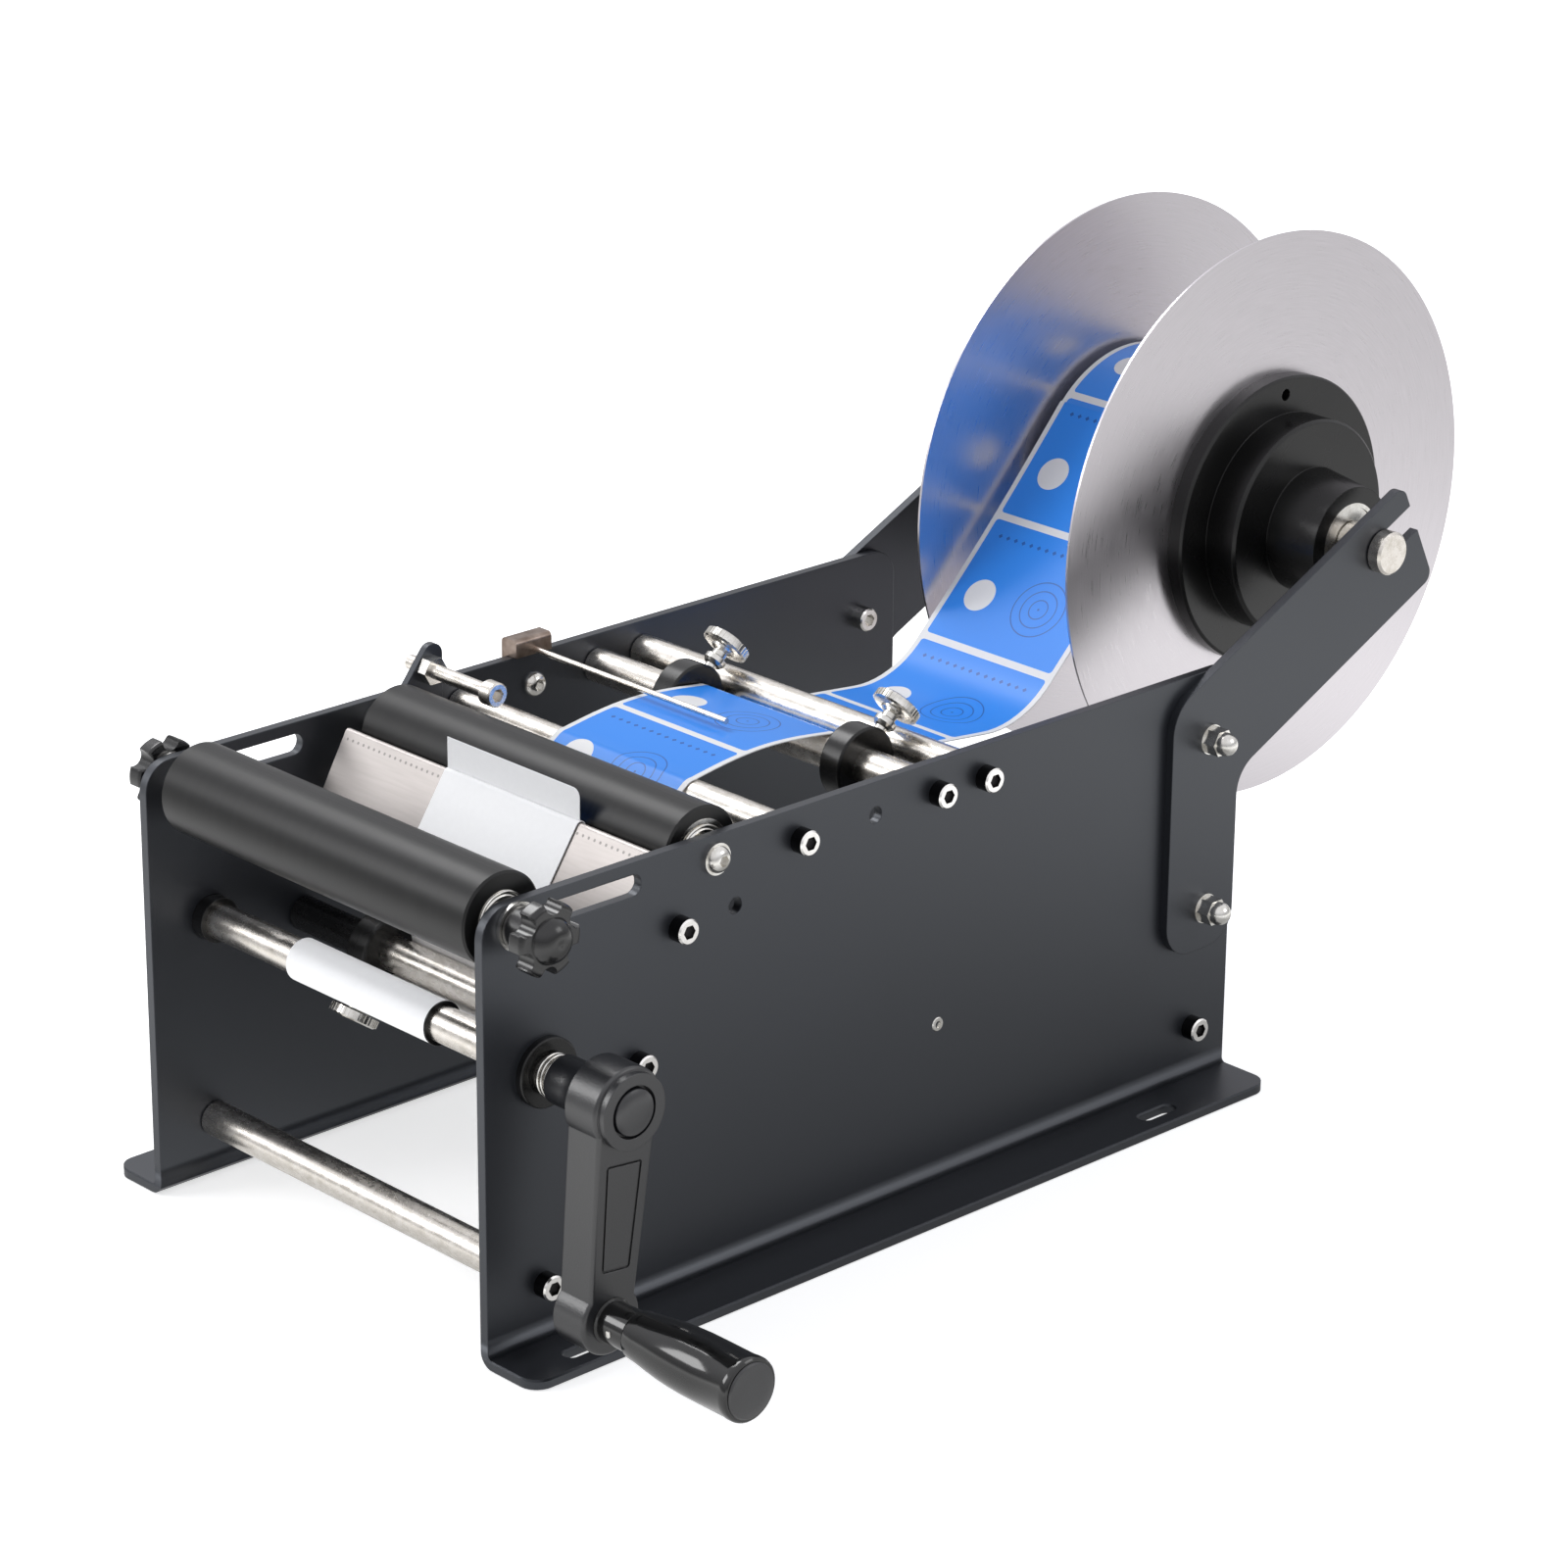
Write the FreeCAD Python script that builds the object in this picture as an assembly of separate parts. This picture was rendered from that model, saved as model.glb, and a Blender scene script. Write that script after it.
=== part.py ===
import FreeCAD, Part
import math
import os

# Hand cranked bottle labelling machine.
# Two folded side plates carry rods, two rollers, a peel plate, a take up crank and a label reel.
# X runs from the left plate to the crank, Y runs from the front roller to the reel, Z is up.
# The sizes below are measured from the middle plane, the front edge of the plates and the floor.

# Fits
running_gap = 0.05
thread_gap = 0.05
seat_gap = 0.15
bolt_gap = 0.3
loose_gap = 0.3

# Side plates
plate_outer_x = 100.0
plate_thickness = 4.0
plate_length = 394.0
plate_height = 178.5
plate_corner_radius = 12.0
flange_width = 26.0
bend_radius = 6.0
flange_corner_radius = 8.0
foot_slot_x = 116.5
foot_slot_front_y = 32.0
foot_slot_rear_y = plate_length - 57.0
foot_slot_radius = 3.5
foot_slot_length = 20.0
plate_inner_x = plate_outer_x - plate_thickness

# Spare holes in the side plates
low_hole_y = 121.0
low_hole_z = plate_height - 30.5
top_hole_y = 192.5
top_hole_z = plate_height - 13.5
pin_hole_y = 229.0
pin_hole_z = plate_height - 110.0
pin_hole_radius = 1.6

# Metric six screws
thread_radius = 3.0
screw_head_radius = 5.0
screw_head_height = 6.0
screw_hexagon_width = 5.0
screw_hexagon_depth = 3.0
screw_grip_length = 16.0
button_head_radius = 5.25
button_head_height = 3.3
washer_radius = 6.2
washer_thickness = 1.6
nut_width = 10.0
dome_flat = 0.5
nut_height = 5.0
cap_nut_height = 12.0
cap_nut_hexagon_height = 6.0
cap_nut_dome_radius = 4.7
screw_hole_radius = thread_radius + bolt_gap
tapped_hole_radius = thread_radius + thread_gap

# Rods between the plates, each given as its Y and Z
rod_radius = 7.0
rod_end_chamfer = 0.6
tie_rod_z = 25.5
web_rod_drop = 13.0
front_tie = (27.0, tie_rod_z)
rear_tie = (plate_length - 20.5, tie_rod_z)
liner_guide = (73.0, plate_height - 79.5)
peel_rod = (93.0, plate_height - 31.5)
front_web = (153.5, plate_height - web_rod_drop)
collar_bar = (225.5, plate_height - web_rod_drop)
rear_web = (250.5, plate_height - web_rod_drop)

# Rollers
roller_radius = 18.0
roller_left_x = -83.5
roller_right_x = 92.5
roller_edge_chamfer = 0.8
roller_z = plate_height - 9.0
front_roller_y = 15.7
front_roller_travel = 46.0
axle_slot_rear_y = 70.8
front_axle_radius = 4.0
front_axle_right_x = 116.0
front_axle_left_x = -107.5
front_axle_side_gap = 0.2
front_bearing_radius = 11.0
front_bearing_width = 7.0
rear_roller_y = 111.0
rear_axle_radius = 5.0
rear_bearing_radius = 13.0
rear_bearing_width = 8.0
bearing_race = 1.7
bearing_seal_depth = 0.5
spacer_wall = 2.2

# Star knobs
knob_lobe_count = 6
knob_valley_angle = 84.5
knob_radius = 14.0
knob_hub_radius = 8.0
knob_stand_off = 9.7
knob_star_length = 8.0
knob_dome_rise = 4.9
knob_dome_radius = 8.8
knob_scallop_radius = 3.8
knob_scallop_offset = 13.4

# Reel arms
arm_thickness = 4.0
arm_angle = 26.0
arm_front_y = plate_length - 41.0
arm_rear_y = plate_length - 2.3
arm_bottom_z = 61.0
arm_bottom_corner = 14.0
arm_front_corner = 18.0
arm_rear_corner = 16.0
arm_tip_corner = 5.0
arm_above_reel = 17.0
arm_below_reel = 31.3
arm_beyond_reel = 22.0
arm_bolt_y = plate_length - 20.0
arm_bolt_low_z = arm_bottom_z + 18.0
arm_bolt_high_z = plate_height - 27.0
arm_outer_x = plate_outer_x + arm_thickness

# Reel
reel_y = plate_length + 80.4
reel_z = plate_height + 29.5
reel_shaft_radius = 6.0
reel_slot_gap = 0.3
reel_head_radius = 9.0
reel_head_length = 6.4
reel_shoulder_radius = 8.5
disc_radius = 120.0
disc_thickness = 1.0
disc_inner_x = 41.5
hub_flange_radius = 61.0
hub_flange_thickness = 7.0
hub_step_radius = 45.7
hub_step_x = 64.8
hub_nose_base_radius = 26.0
hub_nose_radius = 22.8
hub_nose_x = 87.6
hub_spigot_start_x = 20.0
hub_bore_radius = 11.0
hub_pin_hole_radius = 2.5
hub_pin_hole_offset = 53.7
hub_bearing_radius = 16.0
hub_bearing_width = 10.0
core_inner_radius = 38.1
core_wall = 3.4
core_fit = 0.4
roll_radius = 57.0
web_width = 76.0
core_outer_radius = core_inner_radius + core_wall

# Web collars and thumbscrews
collar_radius = 15.25
collar_width = 11.0
collar_chamfer = 0.8
web_collar_right_x = 55.5
web_collar_left_x = -41.4
liner_collar_right_x = 52.0
liner_collar_left_x = -45.5
web_screw_angle = 50.0
liner_screw_angle = 215.0
thumb_thread_radius = 2.5
thumb_tip_start = 7.3
thumb_neck_radius = 4.6
thumb_neck_start = 19.0
thumb_head_start = 25.0
thumb_head_height = 5.0
thumb_head_radius = 10.0
thumb_head_chamfer = 0.8

# Peel plate, leaning back from its lower edge
peel_sheet = 1.5
peel_hem_gap = 0.6
peel_hem_length = 9.0
peel_lean = 29.5
peel_face_y = 73.1
peel_face_z = peel_rod[1]
peel_low_z = plate_height - 40.5
peel_top_z = plate_height - 3.5
peel_left_x = -86.0
peel_right_x = 94.0
saddle_width = 14.0
saddle_left_x = -62.0
saddle_right_x = 66.0
saddle_wall = 2.0
saddle_foot = 1.5
saddle_face = 17.5

# Bottle stop on the left plate
stop_y = 135.2
stop_z = plate_height + 7.5
stop_head_x = -50.5
stop_tail_x = -104.0
stop_bracket_thickness = 3.0

# Tension wire on the left plate
wire_radius = 1.25
wire_y = 192.0
wire_z = plate_height + 1.7
wire_end_x = 18.0
wire_bracket_thickness = 3.0
wire_bracket_front_y = 181.5
wire_bracket_rear_y = 200.0
wire_bracket_low_z = plate_height - 21.5
wire_bracket_top_z = plate_height + 7.5
wire_bracket_inner_x = 94.0

# Take up shaft and crank
takeup_y = 28.2
takeup_z = plate_height - 68.7
takeup_radius = 7.0
takeup_left_end = -107.0
bush_radius = 9.0
bush_flange_radius = 13.5
bush_flange = 3.0
bush_inner_x = 90.0
ring_groove = 0.9
ring_width = 1.4
ring_radius = 9.6
spring_wire_radius = 0.6
spring_mean_radius = 7.9
spring_turns = 3.0
crank_radius = 80.0
crank_tilt = 6.3
crank_neck_x = 110.5
crank_neck_radius = 9.5
crank_arm_x = 129.5
crank_arm_outer_x = 145.7
crank_boss_outer_x = 148.6
crank_boss_radius = 14.5
crank_top_radius = 16.0
crank_low_radius = 13.5
crank_top_half_width = 13.75
crank_low_half_width = 10.3
crank_panel_depth = 1.0
crank_panel_start = 20.0
crank_panel_end = 61.0
crank_panel_margin = 4.5
crank_cap_radius = 10.0
crank_cap_rise = 1.6

# Crank grip
spindle_radius = 4.0
spindle_collar_radius = 8.0
spindle_collar_end_x = 157.0
spindle_head_radius = 6.0
grip_cap_x = 211.5
spindle_head_x = grip_cap_x - 5.5
spindle_head_end_x = grip_cap_x - 2.0
grip_start_radius = 8.0
grip_full_radius = 12.2
grip_full_x = grip_cap_x - 19.5
grip_end_x = grip_cap_x + 7.5

# Label web and liner
web_thickness = 0.4
web_gap = 0.35
liner_roll_radius = 8.5
liner_roll_left_x = -38.5
liner_roll_right_x = 43.0
peeled_left_x = -26.0
peeled_right_x = 49.6
peeled_height = 12.1
peeled_corner = 3.5
slack_lead = 43.45
slack_y = (rear_web[0] + reel_y) / 2 - slack_lead
slack_z = plate_height + 16.5
slack_radius = 45.0
web_arc_step = 15.0

V = FreeCAD.Vector
X_AXIS = V(1, 0, 0)


def cylinder(x0, x1, y, z, radius):
    """Round bar along X."""
    return Part.makeCylinder(radius, x1 - x0, V(x0, y, z), X_AXIS)


def turned(profile, y, z):
    """Turn a closed profile about a line along X.
    Entries are x and radius, with the middle of an arc before the end point where the edge is round."""
    edges = []
    start = V(profile[0][0], y, z + profile[0][1])
    here = start
    for item in profile[1:]:
        end = V(item[-2], y, z + item[-1])
        if len(item) == 4:
            middle = V(item[0], y, z + item[1])
            edges.append(Part.Arc(here, middle, end).toShape())
        else:
            edges.append(Part.makeLine(here, end))
        here = end
    edges.append(Part.makeLine(here, start))
    face = Part.Face(Part.Wire(edges))
    return face.revolve(V(0, y, z), X_AXIS, 360)


def rounded_face(corners, place):
    """Flat face whose corners are a, b and a rounding radius."""
    edges = []
    joints = []
    count = len(corners)
    for i in range(count):
        a, b, radius = corners[i]
        corner = V(a, b, 0)
        before = V(corners[i - 1][0], corners[i - 1][1], 0)
        after = V(corners[(i + 1) % count][0], corners[(i + 1) % count][1], 0)
        toward = (before - corner).normalize()
        away = (after - corner).normalize()
        half = math.acos(max(-1, min(1, toward.dot(away)))) / 2
        if radius < 0.01:
            joints.append((corner, None, corner))
            continue
        reach = radius / math.tan(half)
        middle = (toward + away).normalize()
        middle_point = corner + middle * (radius / math.sin(half) - radius)
        joints.append((corner + toward * reach, middle_point, corner + away * reach))
    for i in range(count):
        begin, middle_point, end = joints[i]
        if middle_point is not None:
            arc = Part.Arc(place(begin), place(middle_point), place(end))
            edges.append(arc.toShape())
        following = joints[(i + 1) % count][0]
        if (following - end).Length > 0.001:
            edges.append(Part.makeLine(place(end), place(following)))
    return Part.Face(Part.Wire(edges))


def plate(corners, x0, x1):
    """Sheet across X whose outline is given in Y and Z."""
    face = rounded_face(corners, lambda p: V(x0, p.x, p.y))
    return face.extrude(V(x1 - x0, 0, 0))


def slot(y0, z0, y1, z1, radius, x0, x1):
    """Round ended slot through X."""
    along = V(0, y1 - y0, z1 - z0).normalize()
    side = V(0, -along.z, along.y) * radius
    first = V(x0, y0, z0)
    last = V(x0, y1, z1)
    outline = Part.makePolygon([first + side, last + side, last - side, first - side, first + side])
    middle = Part.Face(outline).extrude(V(x1 - x0, 0, 0))
    return middle.fuse([cylinder(x0, x1, y0, z0, radius), cylinder(x0, x1, y1, z1, radius)])


def hexagon(x0, x1, y, z, width):
    """Six sided bar along X."""
    radius = width / math.sqrt(3)
    points = []
    for i in range(7):
        turn = math.radians(60 * i)
        points.append(V(x0, y + radius * math.cos(turn), z + radius * math.sin(turn)))
    return Part.Face(Part.makePolygon(points)).extrude(V(x1 - x0, 0, 0))


def mirrored(shape):
    """The same piece on the other side of the machine."""
    return shape.mirror(V(0, 0, 0), X_AXIS)


def both_sides(shapes):
    """A list of pieces on the right and the same on the left."""
    return shapes + [mirrored(shape) for shape in shapes]


def socket_screw(x, y, z, shank_length):
    """Cap screw whose head sits on the outer face x and whose shank runs inward."""
    profile = [
        (x - shank_length, 0),
        (x - shank_length, thread_radius - 0.5),
        (x - shank_length + 0.5, thread_radius),
        (x, thread_radius),
        (x, screw_head_radius),
        (x + screw_head_height - 0.6, screw_head_radius),
        (x + screw_head_height, screw_head_radius - 0.6),
        (x + screw_head_height, 0),
    ]
    socket_start = x + screw_head_height - screw_hexagon_depth
    socket = hexagon(socket_start, x + screw_head_height + 1, y, z, screw_hexagon_width)
    return turned(profile, y, z).cut(socket)


def button_screw(x, y, z, shank_length):
    """Round headed screw whose head sits on the face x and whose shank runs inward."""
    top = x + button_head_height
    profile = [
        (x - shank_length, 0),
        (x - shank_length, thread_radius),
        (x, thread_radius),
        (x, button_head_radius),
        (x + button_head_height * 0.68, button_head_radius * 0.8, top, button_head_radius * 0.35),
        (top, 0),
    ]
    socket = hexagon(top - 2, top + 1, y, z, screw_hexagon_width * 0.8)
    return turned(profile, y, z).cut(socket)


def washer(x, y, z, bore, radius, thickness):
    """Flat ring along X."""
    return turned([(x, bore), (x + thickness, bore), (x + thickness, radius), (x, radius)], y, z)


def bearing(x0, x1, y, z, bore, radius):
    """Ball bearing with shields set back between its races."""
    inner = bore + bearing_race
    outer = radius - bearing_race
    profile = [
        (x0, bore),
        (x0, inner),
        (x0 + bearing_seal_depth, inner),
        (x0 + bearing_seal_depth, outer),
        (x0, outer),
        (x0, radius),
        (x1, radius),
        (x1, outer),
        (x1 - bearing_seal_depth, outer),
        (x1 - bearing_seal_depth, inner),
        (x1, inner),
        (x1, bore),
    ]
    return turned(profile, y, z)


def rod(place):
    """Tie rod between the plates, tapped at both ends."""
    y, z = place
    end = plate_inner_x
    narrow = rod_radius - rod_end_chamfer
    bottom = end - screw_grip_length - 2
    profile = [
        (-end, tapped_hole_radius),
        (-end, narrow),
        (-end + rod_end_chamfer, rod_radius),
        (end - rod_end_chamfer, rod_radius),
        (end, narrow),
        (end, tapped_hole_radius),
        (bottom, tapped_hole_radius),
        (bottom, 0),
        (-bottom, 0),
        (-bottom, tapped_hole_radius),
    ]
    return turned(profile, y, z)


def side_plate():
    """Right side plate, folded outward along the floor."""
    outer = plate_outer_x
    inner = plate_inner_x
    tip = outer + flange_width
    inside_bend = bend_radius - plate_thickness
    section = rounded_face(
        [
            (inner, 0, bend_radius),
            (tip, 0, 0),
            (tip, plate_thickness, 0),
            (outer, plate_thickness, inside_bend),
            (outer, plate_height, 0),
            (inner, plate_height, 0),
        ],
        lambda p: V(p.x, 0, p.y),
    )
    body = section.extrude(V(0, plate_length, 0))
    outline = plate(
        [
            (0, -1, 0),
            (plate_length, -1, 0),
            (plate_length, plate_height, plate_corner_radius),
            (0, plate_height, plate_corner_radius),
        ],
        inner - 1,
        tip + 1,
    )
    body = body.common(outline)
    corners = []
    for edge in body.Edges:
        middle = edge.CenterOfMass
        if abs(middle.x - tip) < 0.01 and edge.Length < plate_thickness + 0.1:
            corners.append(edge)
    body = body.makeFillet(flange_corner_radius, corners)
    cuts = []
    for place in all_rods:
        cuts.append(cylinder(inner - 1, outer + 1, place[0], place[1], screw_hole_radius))
    for z in (arm_bolt_low_z, arm_bolt_high_z):
        cuts.append(cylinder(inner - 1, outer + 1, arm_bolt_y, z, screw_hole_radius))
    cuts.append(cylinder(inner - 1, outer + 1, rear_roller_y, roller_z, screw_hole_radius))
    cuts.append(cylinder(inner - 1, outer + 1, low_hole_y, low_hole_z, screw_hole_radius))
    cuts.append(cylinder(inner - 1, outer + 1, top_hole_y, top_hole_z, screw_hole_radius))
    cuts.append(cylinder(inner - 1, outer + 1, pin_hole_y, pin_hole_z, pin_hole_radius))
    cuts.append(cylinder(inner - 1, outer + 1, takeup_y, takeup_z, bush_radius))
    slot_radius = front_axle_radius + front_axle_side_gap
    cuts.append(slot(front_roller_y, roller_z, axle_slot_rear_y, roller_z, slot_radius, inner - 1, outer + 1))
    reach = foot_slot_length / 2 - foot_slot_radius
    for y in (foot_slot_front_y, foot_slot_rear_y):
        hole = Part.makeCylinder(foot_slot_radius, plate_thickness + 2, V(foot_slot_x, y - reach, -1))
        cuts.append(hole)
        hole = Part.makeCylinder(foot_slot_radius, plate_thickness + 2, V(foot_slot_x, y + reach, -1))
        cuts.append(hole)
        corner = V(foot_slot_x - foot_slot_radius, y - reach, -1)
        cuts.append(Part.makeBox(2 * foot_slot_radius, 2 * reach, plate_thickness + 2, corner))
    return body.cut(cuts)


def reel_arm():
    """Right reel arm with its open slot for the reel shaft."""
    rise = math.radians(arm_angle)
    along = V(math.cos(rise), math.sin(rise), 0)
    across = V(-math.sin(rise), math.cos(rise), 0)
    reel = V(reel_y, reel_z, 0)
    high = reel + across * arm_above_reel
    low = reel - across * arm_below_reel
    tip_high = high + along * arm_beyond_reel
    tip_low = low + along * arm_beyond_reel
    bend_high_z = high.y + (arm_front_y - high.x) * math.tan(rise)
    bend_low_z = low.y + (arm_rear_y - low.x) * math.tan(rise)
    outline = [
        (arm_front_y, arm_bottom_z, arm_bottom_corner),
        (arm_rear_y, arm_bottom_z, arm_bottom_corner),
        (arm_rear_y, bend_low_z, arm_rear_corner),
        (tip_low.x, tip_low.y, arm_tip_corner),
        (tip_high.x, tip_high.y, arm_tip_corner),
        (arm_front_y, bend_high_z, arm_front_corner),
    ]
    x0 = plate_outer_x
    x1 = arm_outer_x
    body = plate(outline, x0, x1)
    mouth = reel + along * (arm_beyond_reel * 2)
    slot_radius = reel_shaft_radius + reel_slot_gap
    cuts = [slot(reel_y, reel_z, mouth.x, mouth.y, slot_radius, x0 - 1, x1 + 1)]
    for z in (arm_bolt_low_z, arm_bolt_high_z):
        cuts.append(cylinder(x0 - 1, x1 + 1, arm_bolt_y, z, screw_hole_radius))
    return body.cut(cuts)


def cap_nut(x, y, z):
    """Domed nut sitting on the face x."""
    body = hexagon(x, x + cap_nut_hexagon_height, y, z, nut_width)
    dome_start = x + cap_nut_hexagon_height
    top = x + cap_nut_height
    shoulder = dome_start + (top - dome_start) * 0.25
    dome = turned(
        [
            (dome_start, 0),
            (dome_start, cap_nut_dome_radius),
            (shoulder, cap_nut_dome_radius),
            (shoulder + 3.2, cap_nut_dome_radius * 0.72, top, dome_flat),
            (top, 0),
        ],
        y,
        z,
    )
    hole = cylinder(x - 1, x + cap_nut_hexagon_height + 2, y, z, tapped_hole_radius)
    return body.fuse(dome).cut(hole)


def roller(bearing_radius, bearing_width, y):
    """Roller sleeve with a bearing seat in each end."""
    middle_bore = bearing_radius - 1.5
    x0 = roller_left_x
    x1 = roller_right_x
    edge = roller_edge_chamfer
    profile = [
        (x0, bearing_radius),
        (x0, roller_radius - edge),
        (x0 + edge, roller_radius),
        (x1 - edge, roller_radius),
        (x1, roller_radius - edge),
        (x1, bearing_radius),
        (x1 - bearing_width, bearing_radius),
        (x1 - bearing_width, middle_bore),
        (x0 + bearing_width, middle_bore),
        (x0 + bearing_width, bearing_radius),
    ]
    return turned(profile, y, roller_z)


def roller_bearings(bearing_radius, bearing_width, axle_radius, y):
    """The two bearings of a roller."""
    bore = axle_radius + running_gap
    left = bearing(roller_left_x, roller_left_x + bearing_width, y, roller_z, bore, bearing_radius)
    right = bearing(roller_right_x - bearing_width, roller_right_x, y, roller_z, bore, bearing_radius)
    return [left, right]


def axle_spacers(axle_radius, y):
    """Spacers that keep a roller between the plates."""
    bore = axle_radius + running_gap
    radius = axle_radius + spacer_wall
    left_start = -plate_inner_x + seat_gap
    left_length = roller_left_x - seat_gap - left_start
    right_start = roller_right_x + seat_gap
    right_length = plate_inner_x - seat_gap - right_start
    left = washer(left_start, y, roller_z, bore, radius, left_length)
    right = washer(right_start, y, roller_z, bore, radius, right_length)
    return [left, right]


def star_knob(stand_off, axle_end):
    """Star knob on the right end of the front axle, its star standing off the washer."""
    start = plate_outer_x + seat_gap + washer_thickness + seat_gap
    star_start = start + stand_off
    star_end = star_start + knob_star_length
    dome_end = star_end + knob_dome_rise
    y = front_roller_y
    star = turned(
        [
            (star_start, 0),
            (star_start, knob_radius - 1.3),
            (star_start + 0.4, knob_radius - 0.4, star_start + 1.3, knob_radius),
            (star_end - 2.2, knob_radius),
            (star_end - 0.5, knob_radius - 0.8, star_end, knob_radius - 2.6),
            (star_end, 0),
        ],
        y,
        roller_z,
    )
    scallops = []
    for i in range(knob_lobe_count):
        turn = math.radians(knob_valley_angle) + 2 * math.pi * i / knob_lobe_count
        scallop_y = y + knob_scallop_offset * math.cos(turn)
        scallop_z = roller_z + knob_scallop_offset * math.sin(turn)
        scallops.append(cylinder(star_start - 1, star_end + 1, scallop_y, scallop_z, knob_scallop_radius))
    star = star.cut(scallops)
    core = turned(
        [
            (start, 0),
            (start, knob_hub_radius),
            (star_end, knob_dome_radius),
            (star_end + knob_dome_rise * 0.74, knob_dome_radius * 0.72, dome_end, dome_flat),
            (dome_end, 0),
        ],
        y,
        roller_z,
    )
    bore = cylinder(start - 1, axle_end + 0.5, y, roller_z, front_axle_radius + thread_gap)
    return star.fuse(core).cut(bore)


def reel_hub():
    """Right reel hub with its spigot inside the label core."""
    spigot = core_inner_radius - core_fit
    flange_start = disc_inner_x + disc_thickness
    flange_end = flange_start + hub_flange_thickness
    bearing_start = hub_nose_x - hub_bearing_width
    profile = [
        (hub_spigot_start_x, hub_bore_radius),
        (hub_spigot_start_x, spigot - 2),
        (hub_spigot_start_x + 2, spigot),
        (flange_start, spigot),
        (flange_start, hub_flange_radius),
        (flange_end - 1, hub_flange_radius),
        (flange_end, hub_flange_radius - 1),
        (flange_end, hub_step_radius),
        (hub_step_x - 1.2, hub_step_radius),
        (hub_step_x, hub_step_radius - 1.2),
        (hub_step_x, hub_nose_base_radius),
        (hub_nose_x, hub_nose_radius),
        (hub_nose_x, hub_bearing_radius),
        (bearing_start, hub_bearing_radius),
        (bearing_start, hub_bore_radius),
    ]
    hole = cylinder(flange_start - 1, flange_end + 1, reel_y, reel_z + hub_pin_hole_offset, hub_pin_hole_radius)
    return turned(profile, reel_y, reel_z).cut(hole)


def collar(x, place, angle):
    """Web collar centred on x with a tapped hole for its thumbscrew."""
    y, z = place
    x0 = x - collar_width / 2
    x1 = x + collar_width / 2
    bore = rod_radius + running_gap
    profile = [
        (x0, bore),
        (x0, collar_radius - collar_chamfer),
        (x0 + collar_chamfer, collar_radius),
        (x1 - collar_chamfer, collar_radius),
        (x1, collar_radius - collar_chamfer),
        (x1, bore),
    ]
    turn = math.radians(angle)
    outward = V(0, math.sin(turn), math.cos(turn))
    hole = Part.makeCylinder(thumb_thread_radius + running_gap, collar_radius + 1, V(x, y, z), outward)
    return turned(profile, y, z).cut(hole)


def thumbscrew(x, place, angle):
    """Thumbscrew standing in a collar, turned from straight up toward the rear by the angle."""
    y, z = place
    head_end = thumb_head_start + thumb_head_height
    low_edge = thumb_head_start + thumb_head_chamfer
    high_edge = head_end - thumb_head_chamfer
    profile = [
        (thumb_tip_start, 0),
        (thumb_tip_start, thumb_thread_radius),
        (thumb_neck_start, thumb_thread_radius),
        (thumb_neck_start, thumb_neck_radius),
        (thumb_head_start, thumb_neck_radius),
        (thumb_head_start, thumb_head_radius - thumb_head_chamfer),
        (low_edge, thumb_head_radius),
        (high_edge, thumb_head_radius),
        (head_end, thumb_head_radius - thumb_head_chamfer),
        (head_end, 0),
    ]
    shape = turned(profile, 0, 0)
    shape.rotate(V(0, 0, 0), V(0, 1, 0), -90)
    shape.rotate(V(0, 0, 0), X_AXIS, -angle)
    shape.translate(V(x, y, z))
    return shape


def peel_point(up, back):
    """Point of the peel plate from its height along the face and its depth behind the face."""
    lean = math.radians(peel_lean)
    foot_y = peel_face_y + (peel_low_z - peel_face_z) * math.tan(lean)
    y = foot_y + up * math.sin(lean) + back * math.cos(lean)
    z = peel_low_z + up * math.cos(lean) - back * math.sin(lean)
    return V(0, y, z)


def peel_reach():
    """Length of the flat face up to the start of the hem, and the radius of the hem."""
    hem_radius = peel_sheet + peel_hem_gap / 2
    return (peel_top_z - peel_low_z) / math.cos(math.radians(peel_lean)) - hem_radius, hem_radius


def peel_edge():
    """Middle of the rounded peel edge and its radius."""
    reach, hem_radius = peel_reach()
    return peel_point(reach, hem_radius), hem_radius


def peel_plate():
    """Sheet with a hemmed top edge that the labels peel off."""
    reach, hem_radius = peel_reach()
    far = 2 * hem_radius
    inner = far - peel_sheet
    start = reach - peel_hem_length
    edges = [
        Part.makeLine(peel_point(0, 0), peel_point(reach, 0)),
        Part.Arc(peel_point(reach, 0), peel_point(reach + hem_radius, hem_radius), peel_point(reach, far)).toShape(),
        Part.makeLine(peel_point(reach, far), peel_point(start, far)),
        Part.makeLine(peel_point(start, far), peel_point(start, inner)),
        Part.makeLine(peel_point(start, inner), peel_point(reach, inner)),
        Part.Arc(
            peel_point(reach, inner),
            peel_point(reach + peel_hem_gap / 2, hem_radius),
            peel_point(reach, peel_sheet),
        ).toShape(),
        Part.makeLine(peel_point(reach, peel_sheet), peel_point(0, peel_sheet)),
        Part.makeLine(peel_point(0, peel_sheet), peel_point(0, 0)),
    ]
    face = Part.Face(Part.Wire(edges))
    face.translate(V(peel_left_x, 0, 0))
    return face.extrude(V(peel_right_x - peel_left_x, 0, 0))


def saddle(x):
    """Clamp block that holds the peel plate on its rod."""
    y, z = peel_rod
    low = peel_point(saddle_foot, peel_sheet)
    high = peel_point(saddle_foot + saddle_face, peel_sheet)
    corner = rod_radius + saddle_wall - 1.0
    back = y + rod_radius + saddle_wall
    top = z + rod_radius + saddle_wall
    bottom = z - rod_radius - saddle_wall
    outline = [
        (low.y, low.z, 0),
        (back, bottom, corner),
        (back, top, corner),
        (high.y, high.z, 0),
    ]
    body = plate(outline, x - saddle_width / 2, x + saddle_width / 2)
    bore = cylinder(x - saddle_width, x + saddle_width, y, z, rod_radius + running_gap)
    return body.cut(bore)


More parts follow.
